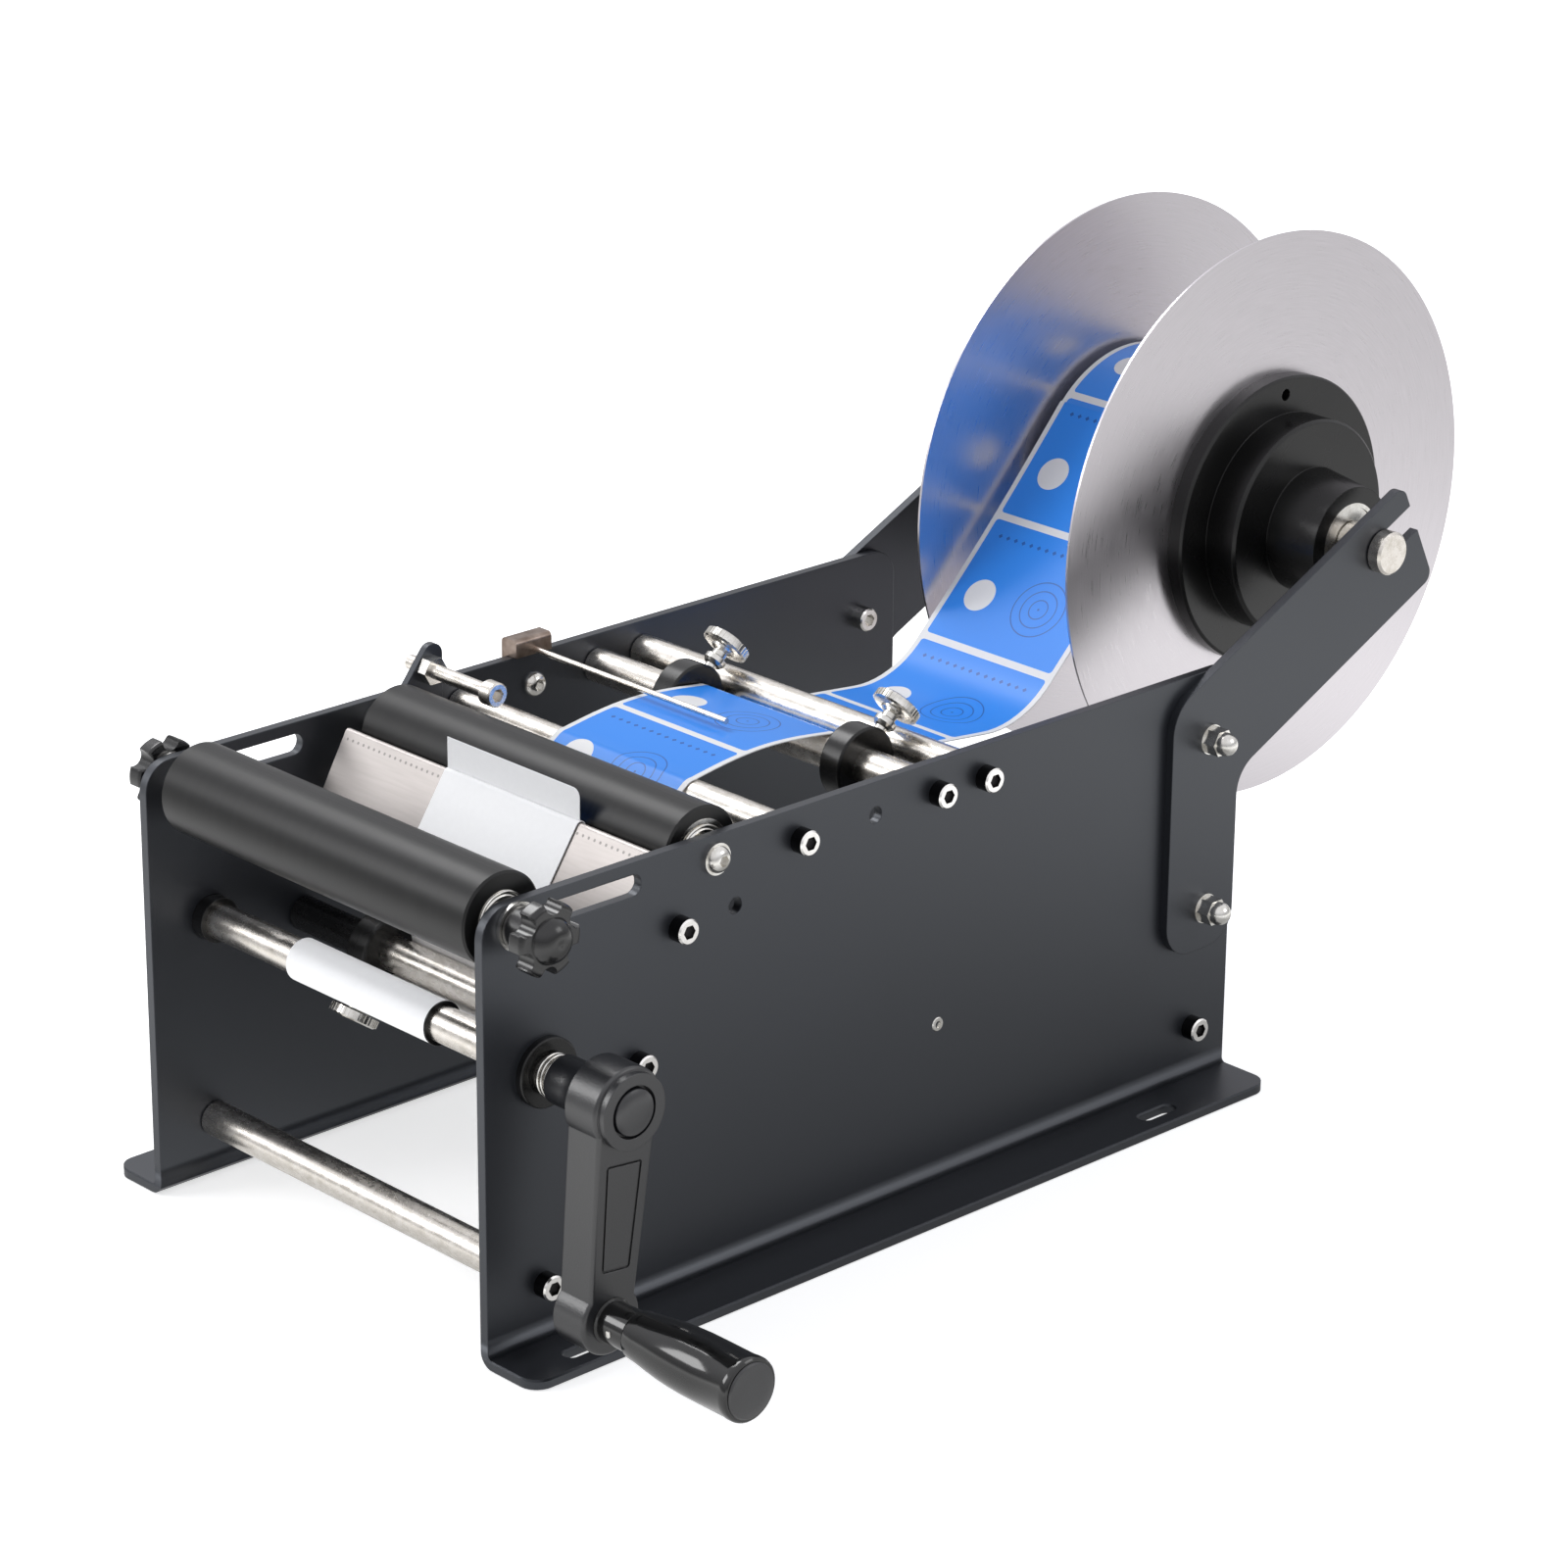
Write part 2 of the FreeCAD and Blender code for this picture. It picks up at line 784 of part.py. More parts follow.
def stop_bracket():
    """Tab on the inner face of the left plate that carries the stop screw."""
    x0 = -plate_inner_x
    x1 = x0 + stop_bracket_thickness
    outline = [
        (low_hole_y - 8.5, low_hole_z - 8.5, 8),
        (low_hole_y + 8.5, low_hole_z - 8.5, 8),
        (stop_y + 7.4, stop_z - 23.0, 12),
        (stop_y + 7.4, stop_z + 18.6, 4.8),
        (low_hole_y - 2.6, low_hole_z + 26.0, 3),
        (low_hole_y - 8.5, low_hole_z + 9.0, 5),
    ]
    body = plate(outline, x0, x1)
    low = cylinder(x0 - 1, x1 + 1, low_hole_y, low_hole_z, screw_hole_radius)
    high = cylinder(x0 - 1, x1 + 1, stop_y, stop_z, tapped_hole_radius)
    notch_radius = rear_axle_radius + spacer_wall + loose_gap
    notch = cylinder(x0 - 1, x1 + 1, rear_roller_y, roller_z, notch_radius)
    return body.cut([low, high, notch])


def stop_screw():
    """Long cap screw that a bottle is pushed against."""
    face = stop_head_x - screw_head_height
    return socket_screw(face, stop_y, stop_z, face - stop_tail_x)


def lock_nut():
    """Nut that locks the stop screw against its bracket."""
    x0 = -plate_inner_x + stop_bracket_thickness + seat_gap
    body = hexagon(x0, x0 + nut_height, stop_y, stop_z, nut_width)
    return body.cut(cylinder(x0 - 1, x0 + nut_height + 1, stop_y, stop_z, tapped_hole_radius))


def wire_bracket():
    """Hooked block over the left plate that holds the tension wire."""
    outer = -plate_outer_x - wire_bracket_thickness
    face = rounded_face(
        [
            (outer, wire_bracket_low_z, 0),
            (-plate_outer_x, wire_bracket_low_z, 0),
            (-plate_outer_x, plate_height + seat_gap, 0),
            (-wire_bracket_inner_x, plate_height + seat_gap, 0),
            (-wire_bracket_inner_x, wire_bracket_top_z, 2),
            (outer, wire_bracket_top_z, 2),
        ],
        lambda p: V(p.x, wire_bracket_front_y, p.y),
    )
    body = face.extrude(V(0, wire_bracket_rear_y - wire_bracket_front_y, 0))
    hole = cylinder(outer - 1, -wire_bracket_inner_x + 1, wire_y, wire_z, wire_radius)
    tap = cylinder(outer - 1, -plate_outer_x + 1, top_hole_y, top_hole_z, tapped_hole_radius)
    return body.cut([hole, tap])


def takeup_bush():
    """Right flanged bush of the take up shaft."""
    bore = takeup_radius + running_gap
    end = plate_outer_x + bush_flange
    profile = [
        (bush_inner_x, bore),
        (end, bore),
        (end, bush_flange_radius - 0.5),
        (end - 0.5, bush_flange_radius),
        (plate_outer_x, bush_flange_radius),
        (plate_outer_x, bush_radius),
        (bush_inner_x, bush_radius),
    ]
    return turned(profile, takeup_y, takeup_z)


def takeup_shaft():
    """Shaft that the liner winds on, grooved for its ring."""
    ring_start = -plate_outer_x - bush_flange - seat_gap - ring_width
    narrow = takeup_radius - ring_groove
    profile = [
        (takeup_left_end, 0),
        (takeup_left_end, takeup_radius - 1),
        (takeup_left_end + 1, takeup_radius),
        (ring_start, takeup_radius),
        (ring_start, narrow),
        (ring_start + ring_width, narrow),
        (ring_start + ring_width, takeup_radius),
        (shaft_end_x, takeup_radius),
        (shaft_end_x, 0),
    ]
    return turned(profile, takeup_y, takeup_z)


def crank_locks():
    """Ring in the groove of the shaft and the grub screw in the crank neck."""
    ring_start = -plate_outer_x - bush_flange - seat_gap - ring_width
    narrow = takeup_radius - ring_groove
    ring = washer(ring_start, takeup_y, takeup_z, narrow, ring_radius, ring_width)
    depth = crank_neck_radius - takeup_radius + 1.5
    base = V(grub_x, takeup_y, takeup_z - takeup_radius - depth)
    grub = Part.makeCylinder(2.0, depth, base, V(0, 0, 1))
    return [ring, grub]


def crank_spring():
    """Coil that takes up the end play between bush and crank."""
    start = plate_outer_x + bush_flange + loose_gap + spring_wire_radius
    length = crank_neck_x - spring_wire_radius - start
    helix = Part.makeHelix(length / spring_turns, length, spring_mean_radius)
    circle = Part.makeCircle(spring_wire_radius, V(spring_mean_radius, 0, 0), V(0, 1, 0))
    coil = Part.Wire(helix).makePipeShell([Part.Wire(circle)], True, True)
    coil.rotate(V(0, 0, 0), V(0, 1, 0), 90)
    coil.translate(V(start, takeup_y, takeup_z))
    return coil


def crank_place(down, side):
    """Point of the crank from its distance down the arm and its distance to the rear."""
    tilt = math.radians(crank_tilt)
    y = takeup_y - down * math.sin(tilt) + side * math.cos(tilt)
    z = takeup_z - down * math.cos(tilt) - side * math.sin(tilt)
    return (y, z)


def crank_quad(start, end, half_start, half_end, corner):
    """Tapered outline along the crank arm."""
    points = [(start, -half_start), (start, half_start), (end, half_end), (end, -half_end)]
    outline = []
    for down, side in points:
        y, z = crank_place(down, side)
        outline.append((y, z, corner))
    return outline


def crank_arm():
    """Cast crank with its neck, arm and two bosses."""
    x0 = crank_arm_x
    x1 = crank_arm_outer_x
    grip_y, grip_z = crank_place(crank_radius, 0)
    body = plate(crank_quad(0, crank_radius, crank_top_half_width, crank_low_half_width, 0), x0, x1)
    top = cylinder(x0, x1, takeup_y, takeup_z, crank_top_radius)
    low = cylinder(x0, x1, grip_y, grip_z, crank_low_radius)
    body = body.fuse([top, low]).removeSplitter()
    rims = []
    for edge in body.Edges:
        box = edge.BoundBox
        if box.XLength < 0.01 and abs(box.XMin - x1) < 0.01:
            rims.append(edge)
    body = body.makeFillet(crank_edge_radius, rims)
    boss = cylinder(x1 - 3, crank_boss_outer_x, takeup_y, takeup_z, crank_boss_radius)
    neck = turned(
        [
            (crank_neck_x, 0),
            (crank_neck_x, crank_neck_radius),
            (crank_neck_x + 9, crank_neck_radius),
            (crank_neck_x + 15, crank_neck_radius + 1.2, crank_arm_x + 0.5, crank_top_half_width),
            (crank_arm_x + 0.5, 0),
        ],
        takeup_y,
        takeup_z,
    )
    slope = (crank_top_half_width - crank_low_half_width) / crank_radius
    half_start = crank_top_half_width - slope * crank_panel_start - crank_panel_margin
    half_end = crank_top_half_width - slope * crank_panel_end - crank_panel_margin
    panel = plate(
        crank_quad(crank_panel_start, crank_panel_end, half_start, half_end, 1.5),
        x1 - crank_panel_depth,
        x1 + 1,
    )
    pocket = cylinder(cap_seat_x, crank_boss_outer_x + 1, takeup_y, takeup_z, crank_cap_radius)
    bore = cylinder(crank_neck_x - 1, shaft_end_x, takeup_y, takeup_z, takeup_radius)
    spindle_hole = cylinder(x0 - 1, x1 + 1, grip_y, grip_z, spindle_radius)
    grub_hole = Part.makeCylinder(2.0, 20, V(grub_x, takeup_y, takeup_z - takeup_radius), V(0, 0, -1))
    body = body.fuse([boss, neck])
    return body.cut([panel, pocket, bore, spindle_hole, grub_hole])


def crank_cap():
    """Shallow dome that closes the crank boss."""
    rim = crank_boss_outer_x
    bow = crank_cap_radius * 0.5
    profile = [
        (cap_seat_x, 0),
        (cap_seat_x, crank_cap_radius),
        (rim, crank_cap_radius),
        (rim + crank_cap_rise * 0.75, bow, rim + crank_cap_rise, dome_flat),
        (rim + crank_cap_rise, 0),
    ]
    return turned(profile, takeup_y, takeup_z)


def grip_spindle():
    """Pin of the crank grip with its collar and its head inside the grip."""
    y, z = crank_place(crank_radius, 0)
    collar_start = crank_arm_outer_x
    profile = [
        (crank_arm_x, 0),
        (crank_arm_x, spindle_radius),
        (collar_start, spindle_radius),
        (collar_start, spindle_collar_radius),
        (spindle_collar_end_x, spindle_collar_radius),
        (spindle_collar_end_x, spindle_radius),
        (spindle_head_x, spindle_radius),
        (spindle_head_x, spindle_head_radius),
        (spindle_head_end_x, spindle_head_radius),
        (spindle_head_end_x, 0),
    ]
    body = turned(profile, y, z)
    pin_x = (collar_start + spindle_collar_end_x) / 2
    pin = Part.makeCylinder(1.2, spindle_collar_radius + 1.5, V(pin_x, y, z), V(0, -0.6, 0.8))
    return body.fuse(pin)


def grip():
    """Turned grip that spins on the spindle."""
    y, z = crank_place(crank_radius, 0)
    start = spindle_collar_end_x + seat_gap
    bore = spindle_radius + running_gap
    pocket = spindle_head_radius + loose_gap
    pocket_start = spindle_head_x - seat_gap
    profile = [
        (start, bore),
        (start, grip_start_radius - 0.8),
        (start + 0.8, grip_start_radius),
        ((start + grip_full_x) / 2, grip_start_radius + 2.9, grip_full_x, grip_full_radius - 0.1),
        (grip_cap_x, grip_full_radius),
        (grip_cap_x, pocket),
        (pocket_start, pocket),
        (pocket_start, bore),
    ]
    return turned(profile, y, z)


def grip_end_cap():
    """Matte plug in the end of the grip."""
    y, z = crank_place(crank_radius, 0)
    pocket = spindle_head_radius + loose_gap
    plug_start = spindle_head_end_x + seat_gap
    profile = [
        (plug_start, 0),
        (plug_start, pocket),
        (grip_cap_x, pocket),
        (grip_cap_x, grip_full_radius - 0.7),
        (grip_cap_x + 0.9, grip_full_radius - 0.7),
        (grip_cap_x + 1.4, grip_full_radius),
        (grip_end_x - 2.5, grip_full_radius),
        (grip_end_x - 0.7, grip_full_radius - 0.8, grip_end_x, grip_full_radius - 3),
        (grip_end_x, 0),
    ]
    return turned(profile, y, z)


def web_path():
    """Middle line of the web from the roll to the take up shaft, with its sideways drift."""
    half = web_gap + web_thickness / 2
    edge, hem_radius = peel_edge()
    foot_radius = peel_sheet / 2
    foot = peel_point(foot_radius, foot_radius)
    wraps = [
        (reel_y, reel_z, roll_radius + half, 1, 0, 0),
        (slack_y, slack_z, slack_radius, -1, 0.5, -2),
        (rear_web[0], rear_web[1], rod_radius + half, -1, 2.4, 0),
        (collar_bar[0], collar_bar[1], rod_radius + half, 1, 3, 0),
        (front_web[0], front_web[1], rod_radius + half, 1, 4.5, 3.4),
        (rear_roller_y, roller_z, roller_radius + half, -1, 7, 0),
        (edge.y, edge.z, hem_radius + half, 1, 12, 0),
        (foot.y, foot.z, foot_radius + half, 1, 9, 0),
        (liner_guide[0], liner_guide[1], rod_radius + half, -1, 1, 0),
        (takeup_y, takeup_z, liner_roll_radius + half, -1, 2, 0),
    ]
    points = []
    arrival = None
    for i in range(len(wraps)):
        y, z, radius, sense, drift, bow = wraps[i]
        departure = None
        if i + 1 < len(wraps):
            gap_y = wraps[i + 1][0] - y
            gap_z = wraps[i + 1][1] - z
            lift = wraps[i + 1][2] * wraps[i + 1][3] - radius * sense
            span = math.sqrt(gap_y ** 2 + gap_z ** 2 - lift ** 2)
            heading = math.atan2(gap_z, gap_y) - math.atan2(lift, span)
            departure = heading - sense * math.pi / 2
        if arrival is None:
            arrival = departure
        if departure is None:
            departure = arrival
        sweep = (departure - arrival) * sense
        while sweep < -0.001:
            sweep += 2 * math.pi
        steps = max(1, int(math.degrees(sweep) / web_arc_step))
        for k in range(steps + 1):
            turn = arrival + sense * sweep * k / steps
            points.append((y + radius * math.cos(turn), z + radius * math.sin(turn), drift))
            if sweep < 0.001:
                break
        if i + 1 == len(wraps):
            break
        start = points[-1]
        along = V(math.cos(heading), math.sin(heading), 0)
        next_drift = wraps[i + 1][4]
        next_bow = wraps[i + 1][5]
        pieces = 8 if abs(next_bow) > 0 else 1
        for k in range(1, pieces):
            part = k / pieces
            rise = next_bow * math.sin(math.pi * part)
            point_y = start[0] + along.x * span * part
            point_z = start[1] + along.y * span * part + rise
            points.append((point_y, point_z, drift + (next_drift - drift) * part))
        arrival = heading - wraps[i + 1][3] * math.pi / 2
    return points


def label_web():
    """Thin strip that follows the web path."""
    points = web_path()
    sections = []
    for i in range(len(points)):
        before = points[max(0, i - 1)]
        after = points[min(len(points) - 1, i + 1)]
        along = V(0, after[0] - before[0], after[1] - before[1]).normalize()
        side = V(0, -along.z, along.y) * (web_thickness / 2)
        middle = V(points[i][2], points[i][0], points[i][1])
        reach = V(web_width / 2, 0, 0)
        corners = [middle - reach + side, middle + reach + side, middle + reach - side, middle - reach - side]
        sections.append(Part.makePolygon(corners + [corners[0]]))
    return Part.makeLoft(sections, True, True)


def peeled_label():
    """Label that has left the peel edge and stands upright above it."""
    edge, hem_radius = peel_edge()
    start = edge.z + hem_radius + web_gap + web_thickness + seat_gap
    face_y = edge.y - web_thickness / 2
    outline = [
        (peeled_left_x, start, 0),
        (peeled_right_x, start, 0),
        (peeled_right_x, start + peeled_height, peeled_corner),
        (peeled_left_x, start + peeled_height, peeled_corner),
    ]
    face = rounded_face(outline, lambda p: V(p.x, face_y, p.y))
    return face.extrude(V(0, web_thickness, 0))


# Values that follow from the sizes above
all_rods = [front_tie, rear_tie, liner_guide, peel_rod, front_web, collar_bar, rear_web]
cap_seat_x = crank_arm_outer_x
shaft_end_x = cap_seat_x - 2.0
grub_x = crank_neck_x + 5.0
crank_edge_radius = 1.5
hub_bearing_start_x = hub_nose_x - hub_bearing_width
reel_shoulder_end_x = plate_outer_x - seat_gap
reel_head_start_x = arm_outer_x + seat_gap
reel_head_end_x = reel_head_start_x + reel_head_length

screws = []
for place in all_rods:
    screws.append(socket_screw(plate_outer_x, place[0], place[1], plate_thickness + screw_grip_length))

arm_screws = []
arm_nuts = []
washers = []
for z in (arm_bolt_low_z, arm_bolt_high_z):
    length = arm_outer_x - plate_inner_x + washer_thickness + cap_nut_hexagon_height
    turned_round = socket_screw(-plate_inner_x, arm_bolt_y, z, length)
    arm_screws.append(mirrored(turned_round))
    bore = screw_hole_radius
    washers.append(washer(arm_outer_x, arm_bolt_y, z, bore, washer_radius, washer_thickness))
    arm_nuts.append(cap_nut(arm_outer_x + washer_thickness, arm_bolt_y, z))
washers.append(washer(plate_outer_x, rear_roller_y, roller_z, screw_hole_radius, washer_radius, washer_thickness))

rear_axle = turned(
    [
        (-plate_inner_x, tapped_hole_radius),
        (-plate_inner_x, rear_axle_radius),
        (plate_inner_x, rear_axle_radius),
        (plate_inner_x, tapped_hole_radius),
        (plate_inner_x - 18, tapped_hole_radius),
        (plate_inner_x - 18, 0),
        (18 - plate_inner_x, 0),
        (18 - plate_inner_x, tapped_hole_radius),
    ],
    rear_roller_y,
    roller_z,
)
rear_axle_screw = button_screw(plate_outer_x + washer_thickness, rear_roller_y, roller_z, screw_grip_length)

bracket_screw_low = button_screw(0, low_hole_y, low_hole_z, stop_bracket_thickness + plate_thickness)
bracket_screw_low.translate(V(stop_bracket_thickness - plate_inner_x, 0, 0))
bracket_screw_high = button_screw(0, top_hole_y, top_hole_z, plate_thickness + wire_bracket_thickness)
bracket_screw_high.translate(V(-plate_inner_x, 0, 0))

front_axle = turned(
    [
        (front_axle_left_x, 0),
        (front_axle_left_x, front_axle_radius - 0.7),
        (front_axle_left_x + 0.7, front_axle_radius),
        (front_axle_right_x - 0.7, front_axle_radius),
        (front_axle_right_x, front_axle_radius - 0.7),
        (front_axle_right_x, 0),
    ],
    front_roller_y,
    roller_z,
)
knob_washer = washer(
    plate_outer_x + seat_gap,
    front_roller_y,
    roller_z,
    front_axle_radius + thread_gap,
    knob_hub_radius + 1.2,
    washer_thickness,
)

disc_bore = core_inner_radius - core_fit
reel_disc = washer(disc_inner_x, reel_y, reel_z, disc_bore, disc_radius, disc_thickness)
reel_shaft = cylinder(-reel_head_end_x + 1, reel_head_end_x - 1, reel_y, reel_z, reel_shaft_radius)
reel_head = turned(
    [
        (reel_head_start_x, reel_shaft_radius),
        (reel_head_start_x, reel_head_radius - 0.5),
        (reel_head_start_x + 0.5, reel_head_radius),
        (reel_head_end_x - 1, reel_head_radius),
        (reel_head_end_x, reel_head_radius - 1),
        (reel_head_end_x, 0),
        (reel_head_end_x - 1, 0),
        (reel_head_end_x - 1, reel_shaft_radius),
    ],
    reel_y,
    reel_z,
)
reel_spacer = washer(
    hub_nose_x + seat_gap,
    reel_y,
    reel_z,
    reel_shaft_radius,
    reel_shoulder_radius,
    reel_shoulder_end_x - hub_nose_x - seat_gap,
)
hub_bearing = bearing(
    hub_bearing_start_x, hub_nose_x, reel_y, reel_z, reel_shaft_radius + running_gap, hub_bearing_radius
)
half_core = disc_inner_x - loose_gap
label_core = washer(-half_core, reel_y, reel_z, core_inner_radius, core_outer_radius, 2 * half_core)
label_roll = washer(-web_width / 2, reel_y, reel_z, core_outer_radius, roll_radius, web_width)

liner_roll = washer(
    liner_roll_left_x,
    takeup_y,
    takeup_z,
    takeup_radius,
    liner_roll_radius,
    liner_roll_right_x - liner_roll_left_x,
)
wire = cylinder(-plate_outer_x - 2, wire_end_x, wire_y, wire_z, wire_radius)

pieces = {
    "side_plate_right": [side_plate()],
    "side_plate_left": [mirrored(side_plate())],
    "reel_arm_right": [reel_arm()],
    "reel_arm_left": [mirrored(reel_arm())],
    "arm_screws": both_sides(arm_screws),
    "arm_cap_nuts": both_sides(arm_nuts),
    "washers_and_spacers": both_sides(washers) + axle_spacers(rear_axle_radius, rear_roller_y),
    "front_tie_rod": [rod(front_tie)],
    "rear_tie_rod": [rod(rear_tie)],
    "liner_guide_rod": [rod(liner_guide)],
    "peel_plate_rod": [rod(peel_rod)],
    "front_web_rod": [rod(front_web)],
    "collar_rod": [rod(collar_bar)],
    "rear_web_rod": [rod(rear_web)],
    "rod_screws": both_sides(screws),
    "peel_plate": [peel_plate()],
    "peel_plate_saddles": [saddle(saddle_left_x), saddle(saddle_right_x)],
    "rear_roller_axle": [rear_axle],
    "rear_axle_screws": both_sides([rear_axle_screw]),
    "stop_bracket": [stop_bracket()],
    "bracket_fasteners": [bracket_screw_low, bracket_screw_high, lock_nut()],
    "wire_bracket": [wire_bracket()],
    "tension_wire": [wire],
    "takeup_bushes": both_sides([takeup_bush()]),
    "label_web": [label_web(), peeled_label()],
    "rear_roller_sleeve": [roller(rear_bearing_radius, rear_bearing_width, rear_roller_y)],
    "rear_roller_bearings": roller_bearings(
        rear_bearing_radius, rear_bearing_width, rear_axle_radius, rear_roller_y
    ),
    "front_roller_axle": [front_axle],
    "front_axle_spacers": axle_spacers(front_axle_radius, front_roller_y) + both_sides([knob_washer]),
    "front_roller_sleeve": [roller(front_bearing_radius, front_bearing_width, front_roller_y)],
    "front_roller_bearings": roller_bearings(
        front_bearing_radius, front_bearing_width, front_axle_radius, front_roller_y
    ),
    "star_knob_right": [star_knob(knob_stand_off, front_axle_right_x)],
    "star_knob_left": [mirrored(star_knob(0, -front_axle_left_x))],
    "takeup_shaft": [takeup_shaft()],
    "crank_arm": [crank_arm()],
    "crank_cap": [crank_cap()],
    "crank_spring": [crank_spring()],
    "grip_spindle": [grip_spindle()],
    "crank_locks": crank_locks(),
    "liner_roll": [liner_roll],
    "grip": [grip()],
    "grip_end_cap": [grip_end_cap()],
    "reel_shaft": [reel_shaft],
    "reel_shaft_fittings": both_sides([reel_head, reel_spacer]),
    "reel_disc_right": [reel_disc],
    "reel_disc_left": [mirrored(reel_disc)],
    "hub_right": [reel_hub()],
    "hub_left": [mirrored(reel_hub())],
    "hub_bearings": both_sides([hub_bearing]),
    "label_core": [label_core],
    "label_roll": [label_roll],
    "web_collar_right": [collar(web_collar_right_x, collar_bar, web_screw_angle)],
    "web_collar_left": [collar(web_collar_left_x, collar_bar, web_screw_angle)],
    "liner_collar_right": [collar(liner_collar_right_x, liner_guide, liner_screw_angle)],
    "liner_collar_left": [collar(liner_collar_left_x, liner_guide, liner_screw_angle)],
    "web_thumbscrew_right": [thumbscrew(web_collar_right_x, collar_bar, web_screw_angle)],
    "web_thumbscrew_left": [thumbscrew(web_collar_left_x, collar_bar, web_screw_angle)],
    "liner_thumbscrew_right": [thumbscrew(liner_collar_right_x, liner_guide, liner_screw_angle)],
    "liner_thumbscrew_left": [thumbscrew(liner_collar_left_x, liner_guide, liner_screw_angle)],
    "stop_screw": [stop_screw()],
}

# The shared origin is the middle of the floor under the whole machine
centre_x = (grip_end_x - plate_outer_x - flange_width) / 2
centre_y = (reel_y + disc_radius + front_roller_y - roller_radius) / 2
to_origin = V(-centre_x, -centre_y, 0)

if __name__ == "__main__":
    os.makedirs("parts", exist_ok=True)
    for name, solids in pieces.items():
        shape = solids[0] if len(solids) == 1 else Part.makeCompound(solids)
        shape.translate(to_origin)
        valid = shape.isValid()
        print(name, len(shape.Solids), "valid" if valid else "NOT VALID", round(shape.Volume / 1000, 2))
        shape.exportStep("parts/" + name + ".step")
    print("nodes", len(pieces))
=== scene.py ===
# %% [markdown]
# A hand cranked bottle labelling machine, dressed in Blender.
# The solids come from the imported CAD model, which is loaded as a fixed frame, and each
# surface gets its finish here. The paper web, the standing label, the knurled screws, the
# cap, panel and grip of the crank, and a few small rings and screws get meshes of their
# own. Sizes are in millimetres in the machine's own measure: X from the middle plane, Y
# from the front edge of the plates, Z from the floor.

# %% Load the frame
import bpy
import math
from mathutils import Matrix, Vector


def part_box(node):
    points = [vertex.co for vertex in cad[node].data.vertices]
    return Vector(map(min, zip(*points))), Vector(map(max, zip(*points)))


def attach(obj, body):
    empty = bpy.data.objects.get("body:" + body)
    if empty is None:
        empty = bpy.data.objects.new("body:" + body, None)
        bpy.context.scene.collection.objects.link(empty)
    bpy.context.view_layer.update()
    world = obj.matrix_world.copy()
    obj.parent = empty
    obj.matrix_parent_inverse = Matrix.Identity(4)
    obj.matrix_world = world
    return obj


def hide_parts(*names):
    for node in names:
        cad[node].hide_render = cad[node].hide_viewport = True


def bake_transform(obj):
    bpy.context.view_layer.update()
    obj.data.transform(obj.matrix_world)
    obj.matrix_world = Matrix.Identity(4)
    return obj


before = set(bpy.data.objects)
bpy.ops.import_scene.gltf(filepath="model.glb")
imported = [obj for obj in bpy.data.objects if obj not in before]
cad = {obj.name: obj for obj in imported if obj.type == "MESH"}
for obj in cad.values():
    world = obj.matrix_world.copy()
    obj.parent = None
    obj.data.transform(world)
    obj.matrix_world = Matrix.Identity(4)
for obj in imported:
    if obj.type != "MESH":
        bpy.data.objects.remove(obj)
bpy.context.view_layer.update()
print("solids in the frame:", len(cad))

# %% [markdown]
# The machine's own measure starts at the middle plane and the front edge of the plates.
# The shared frame starts at the middle of the floor under the whole machine, so one
# helper turns millimetres of the first into metres of the second.

# %% From machine millimetres to the shared frame
SHIFT_X = 46.5
SHIFT_Y = 296.05


def at(x, y, z):
    """A point of the machine in the shared frame, in metres."""
    return Vector(((x - SHIFT_X) / 1000, (y - SHIFT_Y) / 1000, z / 1000))


print("front edge of the plates at", tuple(round(v, 4) for v in at(0, 0, 0)))

# %% [markdown]
# The camera stands where the photographer stood: to the right of the crank, in front,
# and about forty degrees round. A long lens keeps the plates nearly parallel.

# %% Camera
lens_data = bpy.data.cameras.new("camera")
lens_data.lens = 116.96
lens_data.sensor_width = 36
lens_data.clip_end = 20
camera = bpy.data.objects.new("camera", lens_data)
camera.location = (1.32185, -1.35079, 0.85558)
camera.rotation_euler = (math.radians(69.121), math.radians(-0.4166), math.radians(46.749))
bpy.context.scene.collection.objects.link(camera)
bpy.context.scene.camera = camera
bpy.context.scene.view_settings.view_transform = "Standard"
print("camera at", tuple(round(v, 3) for v in camera.location))

# %% [markdown]
# Light and finishes are both trees of nodes. These helpers add the parts that nearly
# every tree needs: a sum of two numbers, the distance of a point from its middle, a mix of
# two colours, a change of range, and a mix of two shaders by the kind of ray.

# %% Helpers for any tree
# places of the factor, the two colours and the result on a Mix node that mixes colours
MIX_FACTOR = 0
MIX_LOW = 6
MIX_HIGH = 7
MIX_COLOUR = 2


def feed(tree, value, socket):
    """Give a socket a number, a colour or a link from another socket."""
    if isinstance(value, tuple):
        socket.default_value = (*value, 1)
    elif isinstance(value, (int, float)):
        socket.default_value = value
    else:
        tree.links.new(value, socket)


def calc(tree, operation, first, second=None):
    """One sum of two numbers or sockets."""
    sum_node = tree.nodes.new("ShaderNodeMath")
    sum_node.operation = operation
    feed(tree, first, sum_node.inputs[0])
    if second is not None:
        feed(tree, second, sum_node.inputs[1])
    return sum_node.outputs[0]


def reach(tree, x, y):
    """Distance of a point from the middle of its two axes."""
    return calc(tree, "SQRT", calc(tree, "ADD", calc(tree, "POWER", x, 2.0), calc(tree, "POWER", y, 2.0)))


def blend_colour(tree, factor, low, high, kind="MIX"):
    """One colour over another by a factor."""
    mix = tree.nodes.new("ShaderNodeMix")
    mix.data_type = "RGBA"
    mix.blend_type = kind
    feed(tree, factor, mix.inputs[MIX_FACTOR])
    feed(tree, low, mix.inputs[MIX_LOW])
    feed(tree, high, mix.inputs[MIX_HIGH])
    return mix.outputs[MIX_COLOUR]


